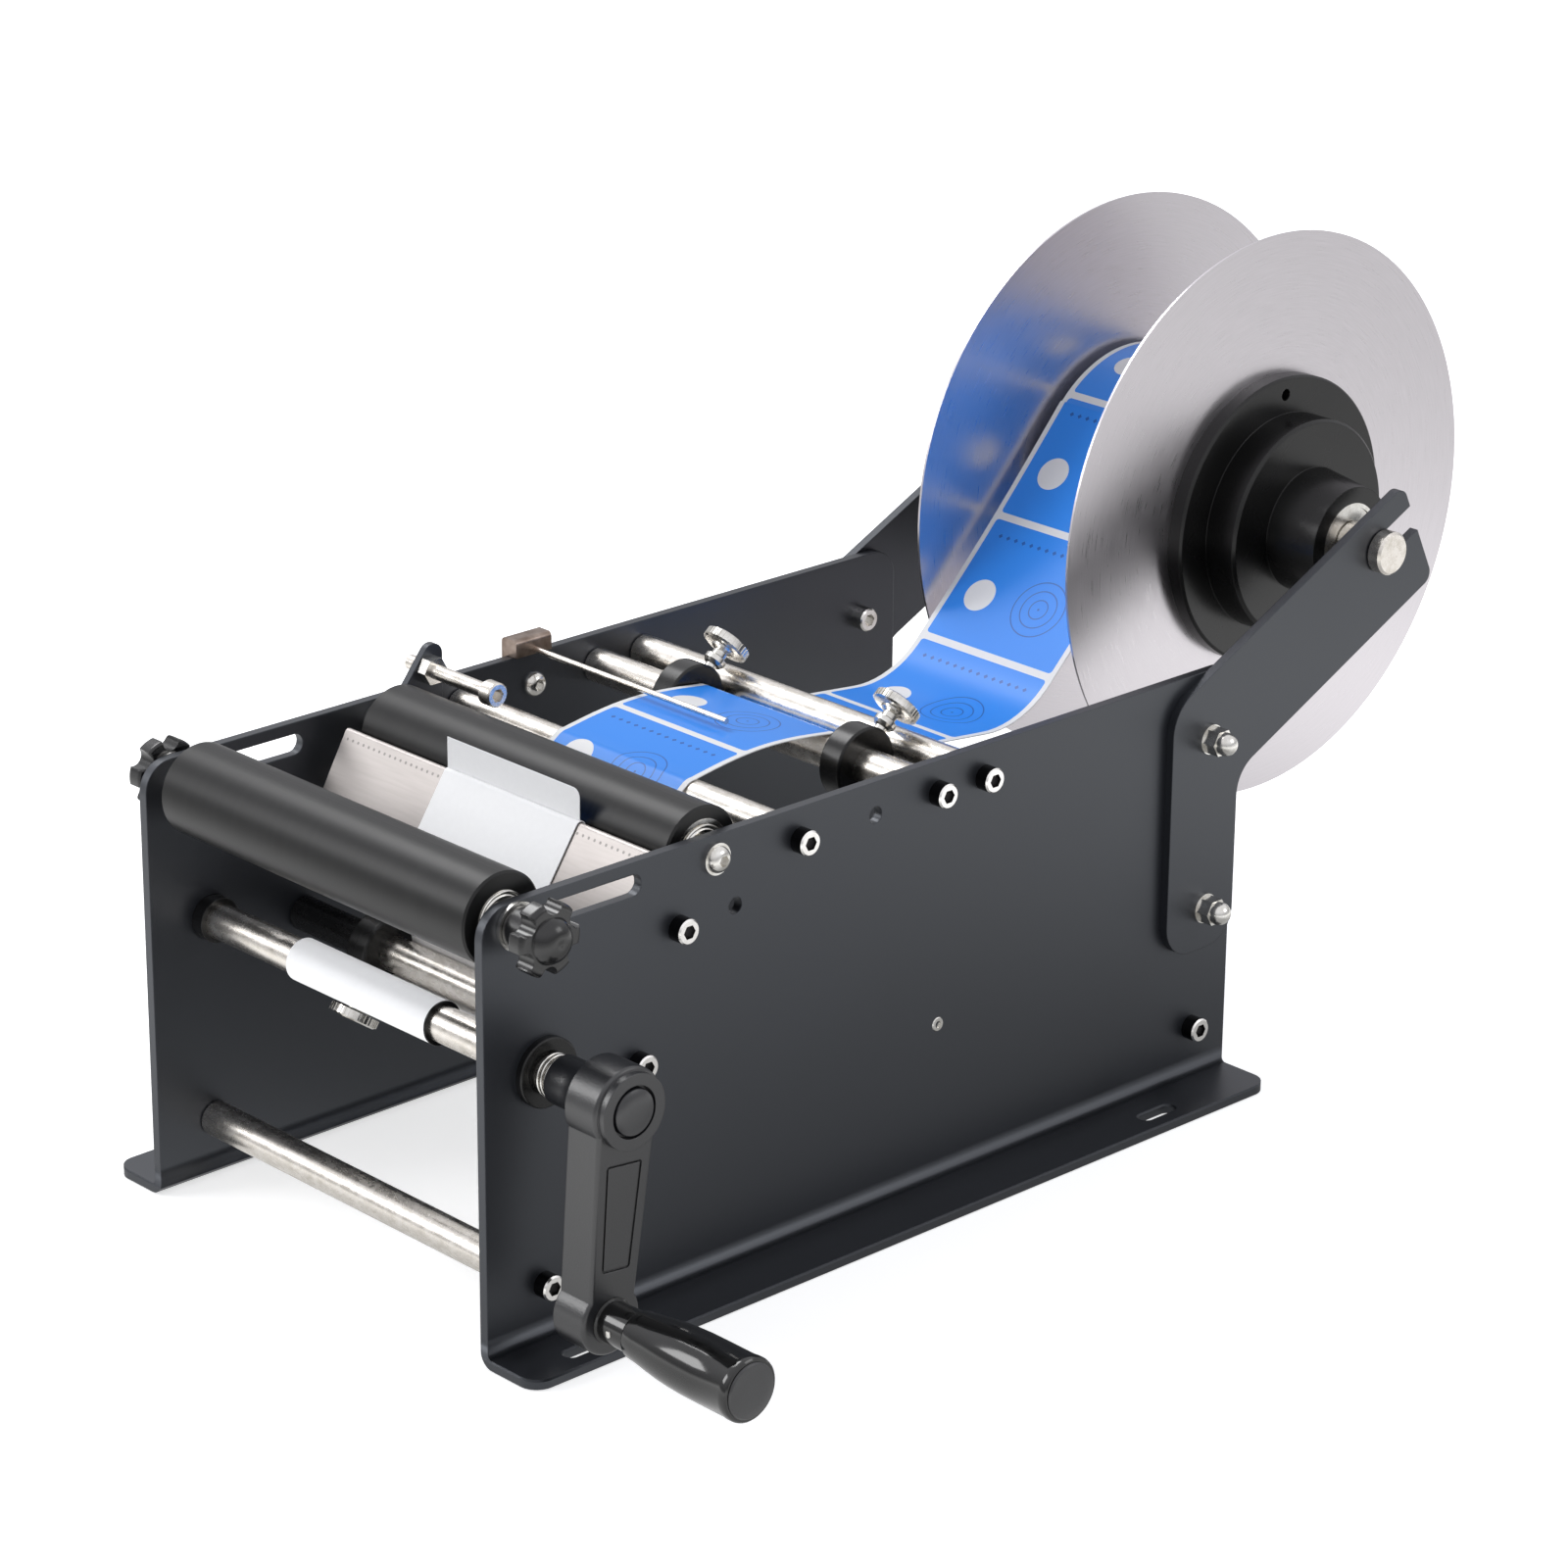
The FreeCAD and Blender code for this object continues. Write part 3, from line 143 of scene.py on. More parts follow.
def map_range(tree, value, start, end, low, high, curve="LINEAR"):
    """A value between start and end turned into one between low and high."""
    spread = tree.nodes.new("ShaderNodeMapRange")
    spread.interpolation_type = curve
    spread.inputs["From Min"].default_value = start
    spread.inputs["From Max"].default_value = end
    spread.inputs["To Min"].default_value = low
    spread.inputs["To Max"].default_value = high
    tree.links.new(value, spread.inputs["Value"])
    return spread.outputs["Result"]


def seen_by(tree, ray, others, these):
    """A mix of two shaders in which one kind of ray sees its own."""
    rays = tree.nodes.new("ShaderNodeLightPath")
    pick = tree.nodes.new("ShaderNodeMixShader")
    tree.links.new(rays.outputs[ray], pick.inputs["Fac"])
    tree.links.new(others, pick.inputs[1])
    tree.links.new(these, pick.inputs[2])
    return pick.outputs[0]


print("tree helpers ready")

# %% [markdown]
# The studio is a white room. The world gives an even light of plain strength, the camera
# sees it as white, and the metal sees it fade towards the horizon, as in a room that is
# lit from above. Asking which kind of ray looks keeps these three apart, so the
# background can be white without more light on the machine.

# %% Studio room
world = bpy.data.worlds.new("studio")
bpy.context.scene.world = world
world.use_nodes = True
sky = world.node_tree
sky.nodes.clear()


def room(colour, strength):
    """One background of the room."""
    background = sky.nodes.new("ShaderNodeBackground")
    background.inputs["Color"].default_value = (*colour, 1)
    feed(sky, strength, background.inputs["Strength"])
    return background.outputs[0]


direction = sky.nodes.new("ShaderNodeTexCoord")
height = sky.nodes.new("ShaderNodeSeparateXYZ")
sky.links.new(direction.outputs["Generated"], height.inputs["Vector"])
fade = map_range(sky, height.outputs["Z"], -0.1, 0.65, 0.42, 1.0, "SMOOTHSTEP")
plain_light = room((0.93, 0.95, 1.0), 0.57)
mirror_room = room((0.97, 0.97, 1.0), fade)
white_room = room((1, 1, 1), 1.0)
seen = seen_by(sky, "Is Glossy Ray", plain_light, mirror_room)
seen = seen_by(sky, "Is Camera Ray", seen, white_room)
out = sky.nodes.new("ShaderNodeOutputWorld")
sky.links.new(seen, out.inputs["Surface"])
print("world nodes:", len(sky.nodes))

# %% [markdown]
# Three large soft lamps give the rollers and the rods their long highlights. A square
# lamp of more than half a metre is used for each, because a small one would leave hard
# shadows and short, burnt highlights on the round metal.

# %% Studio lamps
# name, place, point it looks at, side of the square in metres, power in watts
LAMPS = [
    ("lamp_top", (-0.8, -0.15, 1.3), (0, 0, 0.1), 0.6, 7.5),
    ("lamp_left", (-1.0, -1.5, 0.9), (0, 0, 0.15), 0.7, 8.5),
    ("lamp_right", (1.5, 0.9, 1.2), (0, 0.1, 0.15), 0.8, 4.5),
]


def soft_lamp(name, place, target, size, power):
    """A large square lamp that looks at a target point."""
    data = bpy.data.lights.new(name, "AREA")
    data.size = size
    data.energy = power
    lamp = bpy.data.objects.new(name, data)
    lamp.location = place
    aim = Vector(target) - Vector(place)
    lamp.rotation_euler = aim.to_track_quat("-Z", "Y").to_euler()
    bpy.context.scene.collection.objects.link(lamp)


for lamp_row in LAMPS:
    soft_lamp(*lamp_row)

# %% [markdown]
# Every finish is a small node tree on the object's own coordinates, so a pattern stays
# with its piece in any pose. Noise stands for the grain of a real surface: it varies the
# colour a little, the gloss a little more, and as bump it gives the surface its skin.

# %% Finish helpers


def new_finish(name, roughness, metallic=0.0):
    """A material with its tree and its shader."""
    mat = bpy.data.materials.new(name)
    mat.use_nodes = True
    bsdf = mat.node_tree.nodes["Principled BSDF"]
    bsdf.inputs["Roughness"].default_value = roughness
    bsdf.inputs["Metallic"].default_value = metallic
    return mat, mat.node_tree, bsdf


def place_parts(tree, middle=(0, 0, 0)):
    """X, Y and Z of a point of the piece, counted from a middle."""
    coords = tree.nodes.new("ShaderNodeTexCoord")
    from_middle = tree.nodes.new("ShaderNodeVectorMath")
    from_middle.operation = "SUBTRACT"
    from_middle.inputs[1].default_value = middle
    parts = tree.nodes.new("ShaderNodeSeparateXYZ")
    tree.links.new(coords.outputs["Object"], from_middle.inputs[0])
    tree.links.new(from_middle.outputs["Vector"], parts.inputs["Vector"])
    return parts.outputs


def grain(tree, scale, detail=3.0, stretch=(1, 1, 1), roughness=0.5):
    """Noise on the object's coordinates, stretched where the real grain runs."""
    coords = tree.nodes.new("ShaderNodeTexCoord")
    mapping = tree.nodes.new("ShaderNodeMapping")
    mapping.inputs["Scale"].default_value = stretch
    noise = tree.nodes.new("ShaderNodeTexNoise")
    noise.inputs["Scale"].default_value = scale
    noise.inputs["Detail"].default_value = detail
    noise.inputs["Roughness"].default_value = roughness
    tree.links.new(coords.outputs["Object"], mapping.inputs["Vector"])
    tree.links.new(mapping.outputs["Vector"], noise.inputs["Vector"])
    return noise.outputs["Fac"]


def between(tree, factor, low, high, start=0.3, end=0.7):
    """A colour ramp from one colour to another."""
    ramp = tree.nodes.new("ShaderNodeValToRGB")
    ramp.color_ramp.elements[0].position = start
    ramp.color_ramp.elements[1].position = end
    ramp.color_ramp.elements[0].color = (*low, 1)
    ramp.color_ramp.elements[1].color = (*high, 1)
    tree.links.new(factor, ramp.inputs["Fac"])
    return ramp.outputs["Color"]


def paint(tree, bsdf, factor, low, high, start=0.3, end=0.7):
    """The colour of a surface, between two by a factor."""
    tree.links.new(between(tree, factor, low, high, start, end), bsdf.inputs["Base Color"])


def gloss(tree, bsdf, factor, low, high):
    """The roughness of a surface, between two by a factor."""
    tree.links.new(map_range(tree, factor, 0.0, 1.0, low, high), bsdf.inputs["Roughness"])


def relief(tree, onto, height, depth, strength):
    """Bump from a height, under the normal of a shader or of another bump."""
    bump = tree.nodes.new("ShaderNodeBump")
    bump.inputs["Strength"].default_value = strength
    bump.inputs["Distance"].default_value = depth
    tree.links.new(height, bump.inputs["Height"])
    tree.links.new(bump.outputs["Normal"], onto.inputs["Normal"])
    return bump


def soft_edges(tree, bump, radius):
    """Edges that catch the light as if they were rounded by a radius."""
    bevel = tree.nodes.new("ShaderNodeBevel")
    bevel.inputs["Radius"].default_value = radius
    tree.links.new(bevel.outputs["Normal"], bump.inputs["Normal"])


print("finish helpers ready")

# %% [markdown]
# The floor is one pale plane. It keeps the soft shadow of the machine, and far from the
# machine it is as white as the room. What shines sees a floor of its own: darker close to
# the machine, so the plates fade a little towards their feet, brightest half a metre from
# its middle, and dimmer again further out.

# %% Floor


def start_fresh():
    """Nothing selected, object mode."""
    if bpy.context.mode != "OBJECT":
        bpy.ops.object.mode_set(mode="OBJECT")
    bpy.ops.object.select_all(action="DESELECT")


start_fresh()
bpy.ops.mesh.primitive_plane_add(size=8, location=(0, 0, -0.0005))
floor = bpy.context.object
floor.name = "studio_floor"
floor_paint, tree, bsdf = new_finish("floor_paint", 0.9)
bsdf.inputs["Base Color"].default_value = (0.92, 0.92, 0.92, 1)
bsdf.inputs["Specular IOR Level"].default_value = 0.0
bsdf.inputs["Emission Color"].default_value = (1, 1, 1, 1)
coords = tree.nodes.new("ShaderNodeTexCoord")
away = tree.nodes.new("ShaderNodeVectorMath")
away.operation = "LENGTH"
tree.links.new(coords.outputs["Object"], away.inputs[0])
distance = away.outputs["Value"]
tree.links.new(map_range(tree, distance, 0.35, 1.3, 0.62, 1.0), bsdf.inputs["Emission Strength"])
mirror_near = map_range(tree, distance, 0.2, 0.5, 0.42, 1.4)
mirror_far = map_range(tree, distance, 0.6, 1.0, 1.0, 0.6)
mirrored = tree.nodes.new("ShaderNodeEmission")
tree.links.new(calc(tree, "MULTIPLY", mirror_near, mirror_far), mirrored.inputs["Strength"])
floor_seen = seen_by(tree, "Is Glossy Ray", bsdf.outputs["BSDF"], mirrored.outputs["Emission"])
tree.links.new(floor_seen, tree.nodes["Material Output"].inputs["Surface"])
floor.data.materials.append(floor_paint)
print("floor size", floor.dimensions.x)

# %% [markdown]
# The plates and arms are steel sheet with a fine black powder coat: satin, with a very
# small orange peel and a slight unevenness in gloss. A second relief rounds the bend
# where a plate folds into its foot, so the bend catches the light. It grows over the last
# millimetres towards the floor, so it needs no mesh of its own.

# %% Black powder coat
FOLD_TOP = 0.012
FOLD_FOOT = 0.003
FOLD_DEPTH = 0.0075
powder_coat, tree, bsdf = new_finish("powder_coat", 0.4)
bsdf.inputs["Specular IOR Level"].default_value = 1.0
bsdf.inputs["Specular Tint"].default_value = (0.86, 0.91, 1.0, 1)
cloud = grain(tree, 9, 4)
paint(tree, bsdf, cloud, (0.003, 0.0034, 0.005), (0.005, 0.0056, 0.008))
gloss(tree, bsdf, cloud, 0.36, 0.46)
orange_peel = relief(tree, bsdf, grain(tree, 1400, 2), 0.00008, 0.35)
fold = calc(tree, "POWER", map_range(tree, place_parts(tree)["Z"], FOLD_TOP, FOLD_FOOT, 0.0, 1.0), 2.0)
bend = relief(tree, orange_peel, fold, FOLD_DEPTH, 1.0)
soft_edges(tree, bend, 0.0007)
print("made", powder_coat.name)

# %% [markdown]
# The rods are drawn stainless bar, polished by hand. Their surface is bright with a
# slightly uneven, mottled skin that runs a little further along the bar than round it,
# so the noise is stretched along X.

# %% Bright bar steel
bar_steel, tree, bsdf = new_finish("bar_steel", 0.24, 1.0)
mottle = grain(tree, 330, 4, (0.5, 1, 1), 0.6)
paint(tree, bsdf, mottle, (0.64, 0.6, 0.54), (0.82, 0.78, 0.73), 0.32, 0.62)
gloss(tree, bsdf, mottle, 0.2, 0.34)
relief(tree, bsdf, grain(tree, 1100, 3, (0.15, 1, 1)), 0.00003, 0.4)
print("made", bar_steel.name)

# %% [markdown]
# The guide rod of the liner is painted black on its left part as painted shade, for the
# shade of the roller and the left plate in which that part of the rod lies. The finish is a
# copy of the bar steel that turns black and stops being metal left of where the shade
# ends, because a dark sleeve of its own would stand in the way of the collar that slides there.

# %% Rod with painted shade
# where the painted shade on the guide rod ends, in machine millimetres
SHADE_END = -51
shade_painted_rod = bar_steel.copy()
shade_painted_rod.name = "shade_painted_rod"
tree = shade_painted_rod.node_tree
bsdf = tree.nodes["Principled BSDF"]
# painted shade: the rod turns black and stops being metal left of that end
unshaded = calc(tree, "GREATER_THAN", place_parts(tree)["X"], at(SHADE_END, 0, 0).x)
steel_colour = bsdf.inputs["Base Color"].links[0].from_socket
tree.links.new(blend_colour(tree, unshaded, (0.006, 0.006, 0.006), steel_colour), bsdf.inputs["Base Color"])
tree.links.new(unshaded, bsdf.inputs["Metallic"])
print("made", shade_painted_rod.name)

# %% [markdown]
# Screws, nuts and washers are nickel plated: brighter and smoother than the rods. They
# are small, so a cloud in colour and gloss is enough and no bump is needed.

# %% Plated steel
plated_steel, tree, bsdf = new_finish("plated_steel", 0.2, 1.0)
cloud = grain(tree, 260)
paint(tree, bsdf, cloud, (0.62, 0.6, 0.56), (0.84, 0.83, 0.8))
gloss(tree, bsdf, cloud, 0.14, 0.3)
print("made", plated_steel.name)

# %% [markdown]
# The cap screws at the ends of the rods are dark on their sides and bright on their end
# face. One finish does both: the face is picked out by the direction that the surface looks in.

# %% Screw with dark sides and a bright face
cap_steel, tree, bsdf = new_finish("cap_steel", 0.22, 1.0)
coords = tree.nodes.new("ShaderNodeTexCoord")
facing = tree.nodes.new("ShaderNodeSeparateXYZ")
tree.links.new(coords.outputs["Normal"], facing.inputs["Vector"])
sideways = calc(tree, "ABSOLUTE", facing.outputs["X"])
bright = between(tree, grain(tree, 400), (0.9, 0.88, 0.85), (0.99, 0.97, 0.95))
# dark on every side that does not face along X, bright on the faces that do
face = between(tree, sideways, (0.03, 0.03, 0.032), (1, 1, 1), 0.45, 0.7)
tree.links.new(blend_colour(tree, 1.0, bright, face, "MULTIPLY"), bsdf.inputs["Base Color"])
print("made", cap_steel.name)

# %% [markdown]
# The reel discs are thin stainless sheet, brushed round their middle. The brushing is a
# noise in polar coordinates: fine across the radius and long around it.

# %% Disc steel
REEL = at(0, 474.4, 208.0)
disc_steel, tree, bsdf = new_finish("disc_steel", 0.3, 1.0)
parts = place_parts(tree, REEL)
polar = tree.nodes.new("ShaderNodeCombineXYZ")
tree.links.new(reach(tree, parts["Y"], parts["Z"]), polar.inputs["X"])
slow_turn = calc(tree, "MULTIPLY", calc(tree, "ARCTAN2", parts["Z"], parts["Y"]), 0.004)
tree.links.new(slow_turn, polar.inputs["Y"])
brush = tree.nodes.new("ShaderNodeTexNoise")
brush.inputs["Scale"].default_value = 1600
brush.inputs["Detail"].default_value = 3
tree.links.new(polar.outputs["Vector"], brush.inputs["Vector"])
paint(tree, bsdf, brush.outputs["Fac"], (0.62, 0.595, 0.62), (0.67, 0.64, 0.67))
gloss(tree, bsdf, brush.outputs["Fac"], 0.2, 0.42)
relief(tree, bsdf, brush.outputs["Fac"], 0.00002, 0.25)
print("made", disc_steel.name)

# %% [markdown]
# The sleeves of the rollers are black anodised tube, smoother than the powder coat,
# with faint turning lines round the tube: a noise that is stretched far along Y and Z.

# %% Roller sleeve
sleeve_black, tree, bsdf = new_finish("sleeve_black", 0.32)
bsdf.inputs["Specular IOR Level"].default_value = 0.38
lines = grain(tree, 420, 3, (1, 0.02, 0.02))
paint(tree, bsdf, lines, (0.003, 0.003, 0.003), (0.006, 0.006, 0.006))
gloss(tree, bsdf, lines, 0.36, 0.4)
print("made", sleeve_black.name)

# %% [markdown]
# The hubs and collars are turned from black nylon, the knobs and the crank are moulded
# and cast with a finer or coarser skin, and the grip is polished. They differ only in
# numbers, so one function makes all four.

# %% Black plastics and castings


def black_skin(name, low, high, roughness, bump_scale, bump_depth, coat, shine):
    """A black finish with a skin of its own grain and gloss."""
    mat, tree, bsdf = new_finish(name, roughness)
    bsdf.inputs["Specular IOR Level"].default_value = shine
    bsdf.inputs["Coat Weight"].default_value = coat
    bsdf.inputs["Coat Roughness"].default_value = 0.06
    cloud = grain(tree, 30)
    paint(tree, bsdf, cloud, low, high)
    gloss(tree, bsdf, cloud, roughness * 0.88, roughness * 1.12)
    skin = relief(tree, bsdf, grain(tree, bump_scale, 2), bump_depth, 0.4)
    soft_edges(tree, skin, 0.0006)
    return mat


hub_nylon = black_skin(
    "hub_nylon", (0.003, 0.003, 0.003), (0.005, 0.005, 0.005),
    roughness=0.27, bump_scale=700, bump_depth=0.00003, coat=0.0, shine=0.45,
)
knob_plastic = black_skin(
    "knob_plastic", (0.003, 0.003, 0.003), (0.006, 0.006, 0.0065),
    roughness=0.22, bump_scale=1100, bump_depth=0.00002, coat=0.2, shine=0.6,
)
crank_casting = black_skin(
    "crank_casting", (0.004, 0.0044, 0.006), (0.007, 0.0077, 0.0105),
    roughness=0.33, bump_scale=1300, bump_depth=0.00012, coat=0.0, shine=1.0,
)
grip_polish = black_skin(
    "grip_polish", (0.003, 0.003, 0.003), (0.005, 0.005, 0.005),
    roughness=0.12, bump_scale=300, bump_depth=0.00001, coat=0.3, shine=0.55,
)
print("made", [m.name for m in (hub_nylon, knob_plastic, crank_casting, grip_polish)])

# %% [markdown]
# The block of the tension wire is bronze toned, the core of the label roll is card, and
# the liner is a smooth white paper. A cloud or a fibre in the colour tells them apart.

# %% Bronze, card and liner paper
bronze, tree, bsdf = new_finish("bronze", 0.35, 1.0)
paint(tree, bsdf, grain(tree, 150, 4), (0.14, 0.1, 0.075), (0.36, 0.29, 0.25))

card, tree, bsdf = new_finish("card", 0.85)
paint(tree, bsdf, grain(tree, 500, 4, (1, 0.3, 0.3)), (0.33, 0.22, 0.13), (0.46, 0.33, 0.2))

liner_paper, tree, bsdf = new_finish("liner_paper", 0.45)
paint(tree, bsdf, grain(tree, 420, 4), (0.955, 0.955, 0.96), (0.98, 0.98, 0.985))
print("made", bronze.name, card.name, liner_paper.name)

# %% [markdown]
# The printed web. Its labels are blue with a white disc, a few thin rings and a row of
# small diamonds, all of our own design. A picture would do, but sums on millimetres
# across the web and along it stay sharp at any size, and the strip and the roll can
# share them.

# %% Label print
# millimetres on the web, with places on a label counted from its middle
PITCH = 60.4
GAP = 3.3
WEB_WIDTH = 76.0
LABEL_WIDTH = 71.0
LABEL_CORNER = 1.6
FIRST_GAP = 116.5
DISC_AT = (-21.0, 6.0)
DISC_RADIUS = 7.5
RINGS_AT = (11.0, 4.0)
RINGS_RADIUS = 15.0
RING_STEP = 4.2
RING_LINE = 0.55
DIAMOND_ROW = -21.5
DIAMOND_STEP = 4.4
DIAMOND_SIZE = 1.1
ROW_HALF = 30.0
INK_STRENGTH = 0.75
LABEL_BLUE = (0.03, 0.27, 0.9)
LABEL_INK = (0.01, 0.06, 0.3)
LINER_WHITE = (0.84, 0.84, 0.85)


def label_print(tree, across, along):
    """The print of the web: across and along are millimetres from its left edge and its start."""

    def sums(operation, first, second=None):
        """One sum in this tree."""
        return calc(tree, operation, first, second)

    # x and y count from the middle of one label
    x = sums("SUBTRACT", across, WEB_WIDTH / 2)
    wrapped = sums("FLOORED_MODULO", sums("SUBTRACT", along, FIRST_GAP), PITCH)
    y = sums("SUBTRACT", wrapped, PITCH / 2)
    # a blue label with rounded corners
    side_x = sums("SUBTRACT", sums("ABSOLUTE", x), LABEL_WIDTH / 2 - LABEL_CORNER)
    side_y = sums("SUBTRACT", sums("ABSOLUTE", y), (PITCH - GAP) / 2 - LABEL_CORNER)
    corner = reach(tree, sums("MAXIMUM", side_x, 0.0), sums("MAXIMUM", side_y, 0.0))
    on_label = sums("LESS_THAN", corner, LABEL_CORNER)
    # a white disc on the left
    disc = reach(tree, sums("SUBTRACT", x, DISC_AT[0]), sums("SUBTRACT", y, DISC_AT[1]))
    white = sums("LESS_THAN", disc, DISC_RADIUS)
    # thin dark rings on the right
    rings = reach(tree, sums("SUBTRACT", x, RINGS_AT[0]), sums("SUBTRACT", y, RINGS_AT[1]))
    ring_line = sums("LESS_THAN", sums("FLOORED_MODULO", rings, RING_STEP), RING_LINE)
    ring_ink = sums("MULTIPLY", ring_line, sums("LESS_THAN", rings, RINGS_RADIUS))
    # a row of small diamonds near the edge towards the roll
    diamond_x = sums("SUBTRACT", sums("FLOORED_MODULO", x, DIAMOND_STEP), DIAMOND_STEP / 2)
    diamond_y = sums("SUBTRACT", y, DIAMOND_ROW)
    diamond = sums("ADD", sums("ABSOLUTE", diamond_x), sums("ABSOLUTE", diamond_y))
    in_row = sums("LESS_THAN", sums("ABSOLUTE", x), ROW_HALF)
    row_ink = sums("MULTIPLY", sums("LESS_THAN", diamond, DIAMOND_SIZE), in_row)
    ink = sums("MULTIPLY", sums("MAXIMUM", ring_ink, row_ink), INK_STRENGTH)
    inked = blend_colour(tree, ink, LABEL_BLUE, LABEL_INK)
    printed = blend_colour(tree, white, inked, LINER_WHITE)
    return blend_colour(tree, on_label, LINER_WHITE, printed), on_label


print("labels of", LABEL_WIDTH, "by", round(PITCH - GAP, 1), "mm")

# %% [markdown]
# The strip of web carries its own map, whose two numbers are tenths of a metre across
# and along the strip, so the print bends with the paper wherever the strip turns.

# %% Print on the web
label_print_web, tree, bsdf = new_finish("label_print_web", 0.3)
web_map = tree.nodes.new("ShaderNodeUVMap")
web_parts = tree.nodes.new("ShaderNodeSeparateXYZ")
tree.links.new(web_map.outputs["UV"], web_parts.inputs["Vector"])
across = calc(tree, "MULTIPLY", web_parts.outputs["X"], 100.0)
along = calc(tree, "MULTIPLY", web_parts.outputs["Y"], 100.0)
colour, on_label = label_print(tree, across, along)
tree.links.new(colour, bsdf.inputs["Base Color"])
bsdf.inputs["Specular IOR Level"].default_value = 0.28
gloss(tree, bsdf, on_label, 0.42, 0.3)
print("made", label_print_web.name)

# %% [markdown]
# The roll has no map of its own, so there the way along the web is the turn round the
# reel times its radius. The flat sides of the roll show the edges of the layers, label
# over liner, as fine rings.

# %% Print on the roll
ROLL_RADIUS = 57.55
ROLL_START = math.radians(135.8)
# thickness drawn for one turn of the web, and for the label in it
LAYER = 0.9
LABEL_LAYER = 0.4
label_print_roll, tree, bsdf = new_finish("label_print_roll", 0.3)
parts = place_parts(tree, REEL)
turn = calc(tree, "ARCTAN2", parts["Z"], parts["Y"])
along = calc(tree, "MULTIPLY", calc(tree, "SUBTRACT", turn, ROLL_START), ROLL_RADIUS)
sideways = calc(tree, "MULTIPLY", parts["X"], 1000.0)
across = calc(tree, "ADD", sideways, WEB_WIDTH / 2)
colour = label_print(tree, across, along)[0]
flat_side = calc(tree, "GREATER_THAN", calc(tree, "ABSOLUTE", sideways), WEB_WIDTH / 2 - 0.05)
radius = calc(tree, "MULTIPLY", reach(tree, parts["Y"], parts["Z"]), 1000.0)
layer_edge = calc(tree, "LESS_THAN", calc(tree, "FLOORED_MODULO", radius, LAYER), LABEL_LAYER)
layers = blend_colour(tree, layer_edge, (0.6, 0.64, 0.72), (0.3, 0.42, 0.62))
tree.links.new(blend_colour(tree, flat_side, colour, layers), bsdf.inputs["Base Color"])
print("made", label_print_roll.name)

# %% [markdown]
# The standing label shows only its plain blue ground, with a little fibre in it.

# %% Print of the standing label
label_print_tab, tree, bsdf = new_finish("label_print_tab", 0.3)
paint(tree, bsdf, grain(tree, 300), LABEL_BLUE, (0.06, 0.29, 0.84))
print("made", label_print_tab.name)

# %% [markdown]
# The peel plate is a folded stainless sheet with a quiet, nearly matte skin. A row of
# small press marks runs along it, a little below its upper edge. The marks are far too
# small to model, so they are drawn by their distance along the row and up the plate: a bump
# presses them in, and their hollows are painted darker as painted shade.

# %% Sheet steel
PEEL_LEAN = math.radians(29.5)
PEEL_FOOT = (68.0, 138.0)
PEEL_LENGTH = 42.51
MARK_STEP = 3.2
MARK_DOWN = 4.2
MARK_RADIUS = 0.6
sheet_steel, tree, bsdf = new_finish("sheet_steel", 0.45, 1.0)
brush = grain(tree, 900, 4, (0.06, 1, 1))
gloss(tree, bsdf, grain(tree, 22, 3, (0.6, 1, 1)), 0.42, 0.52)
plain_skin = between(tree, brush, (0.44, 0.41, 0.395), (0.48, 0.45, 0.435))
foot = at(0, *PEEL_FOOT)
parts = place_parts(tree, (0, foot.y, foot.z))
climb_y = calc(tree, "MULTIPLY", parts["Y"], math.sin(PEEL_LEAN))
climb_z = calc(tree, "MULTIPLY", parts["Z"], math.cos(PEEL_LEAN))
climb = calc(tree, "MULTIPLY", calc(tree, "ADD", climb_y, climb_z), 1000.0)
side = calc(tree, "FLOORED_MODULO", calc(tree, "MULTIPLY", parts["X"], 1000.0), MARK_STEP)
side = calc(tree, "SUBTRACT", side, MARK_STEP / 2)
mark = reach(tree, side, calc(tree, "SUBTRACT", climb, PEEL_LENGTH - MARK_DOWN))
in_mark = calc(tree, "LESS_THAN", mark, MARK_RADIUS)
# painted shade: the hollow of each press mark is darker than the sheet
tree.links.new(blend_colour(tree, in_mark, plain_skin, (0.26, 0.25, 0.24)), bsdf.inputs["Base Color"])
relief(tree, bsdf, calc(tree, "MULTIPLY", in_mark, -1.0), 0.0002, 0.6)
print("made", sheet_steel.name)

# %% [markdown]
# The path of the web is a string pulled round circles: the roll, the slack loop, the
# rods, the rear roller, the peel edge, the foot of the peel plate, the guide rod and the
# liner roll. It could be drawn as a curve by hand, but worked out from the circles it
# lies tangent to each of them, and it follows when one of them moves.

# %% Circles of the web path
HEM_RADIUS = 1.8
FOOT_RADIUS = 0.75
WEB_HALF = 0.55
WEB_SHEET = 0.4
ROD_RADIUS = 7.0
ARC_STEP = 5.0


def on_peel(up, back):
    """A point of the peel plate from its height along the face and its depth behind it."""
    y = PEEL_FOOT[0] + up * math.sin(PEEL_LEAN) + back * math.cos(PEEL_LEAN)
    z = PEEL_FOOT[1] + up * math.cos(PEEL_LEAN) - back * math.sin(PEEL_LEAN)
    return y, z


peel_edge = on_peel(PEEL_LENGTH - HEM_RADIUS, HEM_RADIUS)
peel_low = on_peel(FOOT_RADIUS, FOOT_RADIUS)
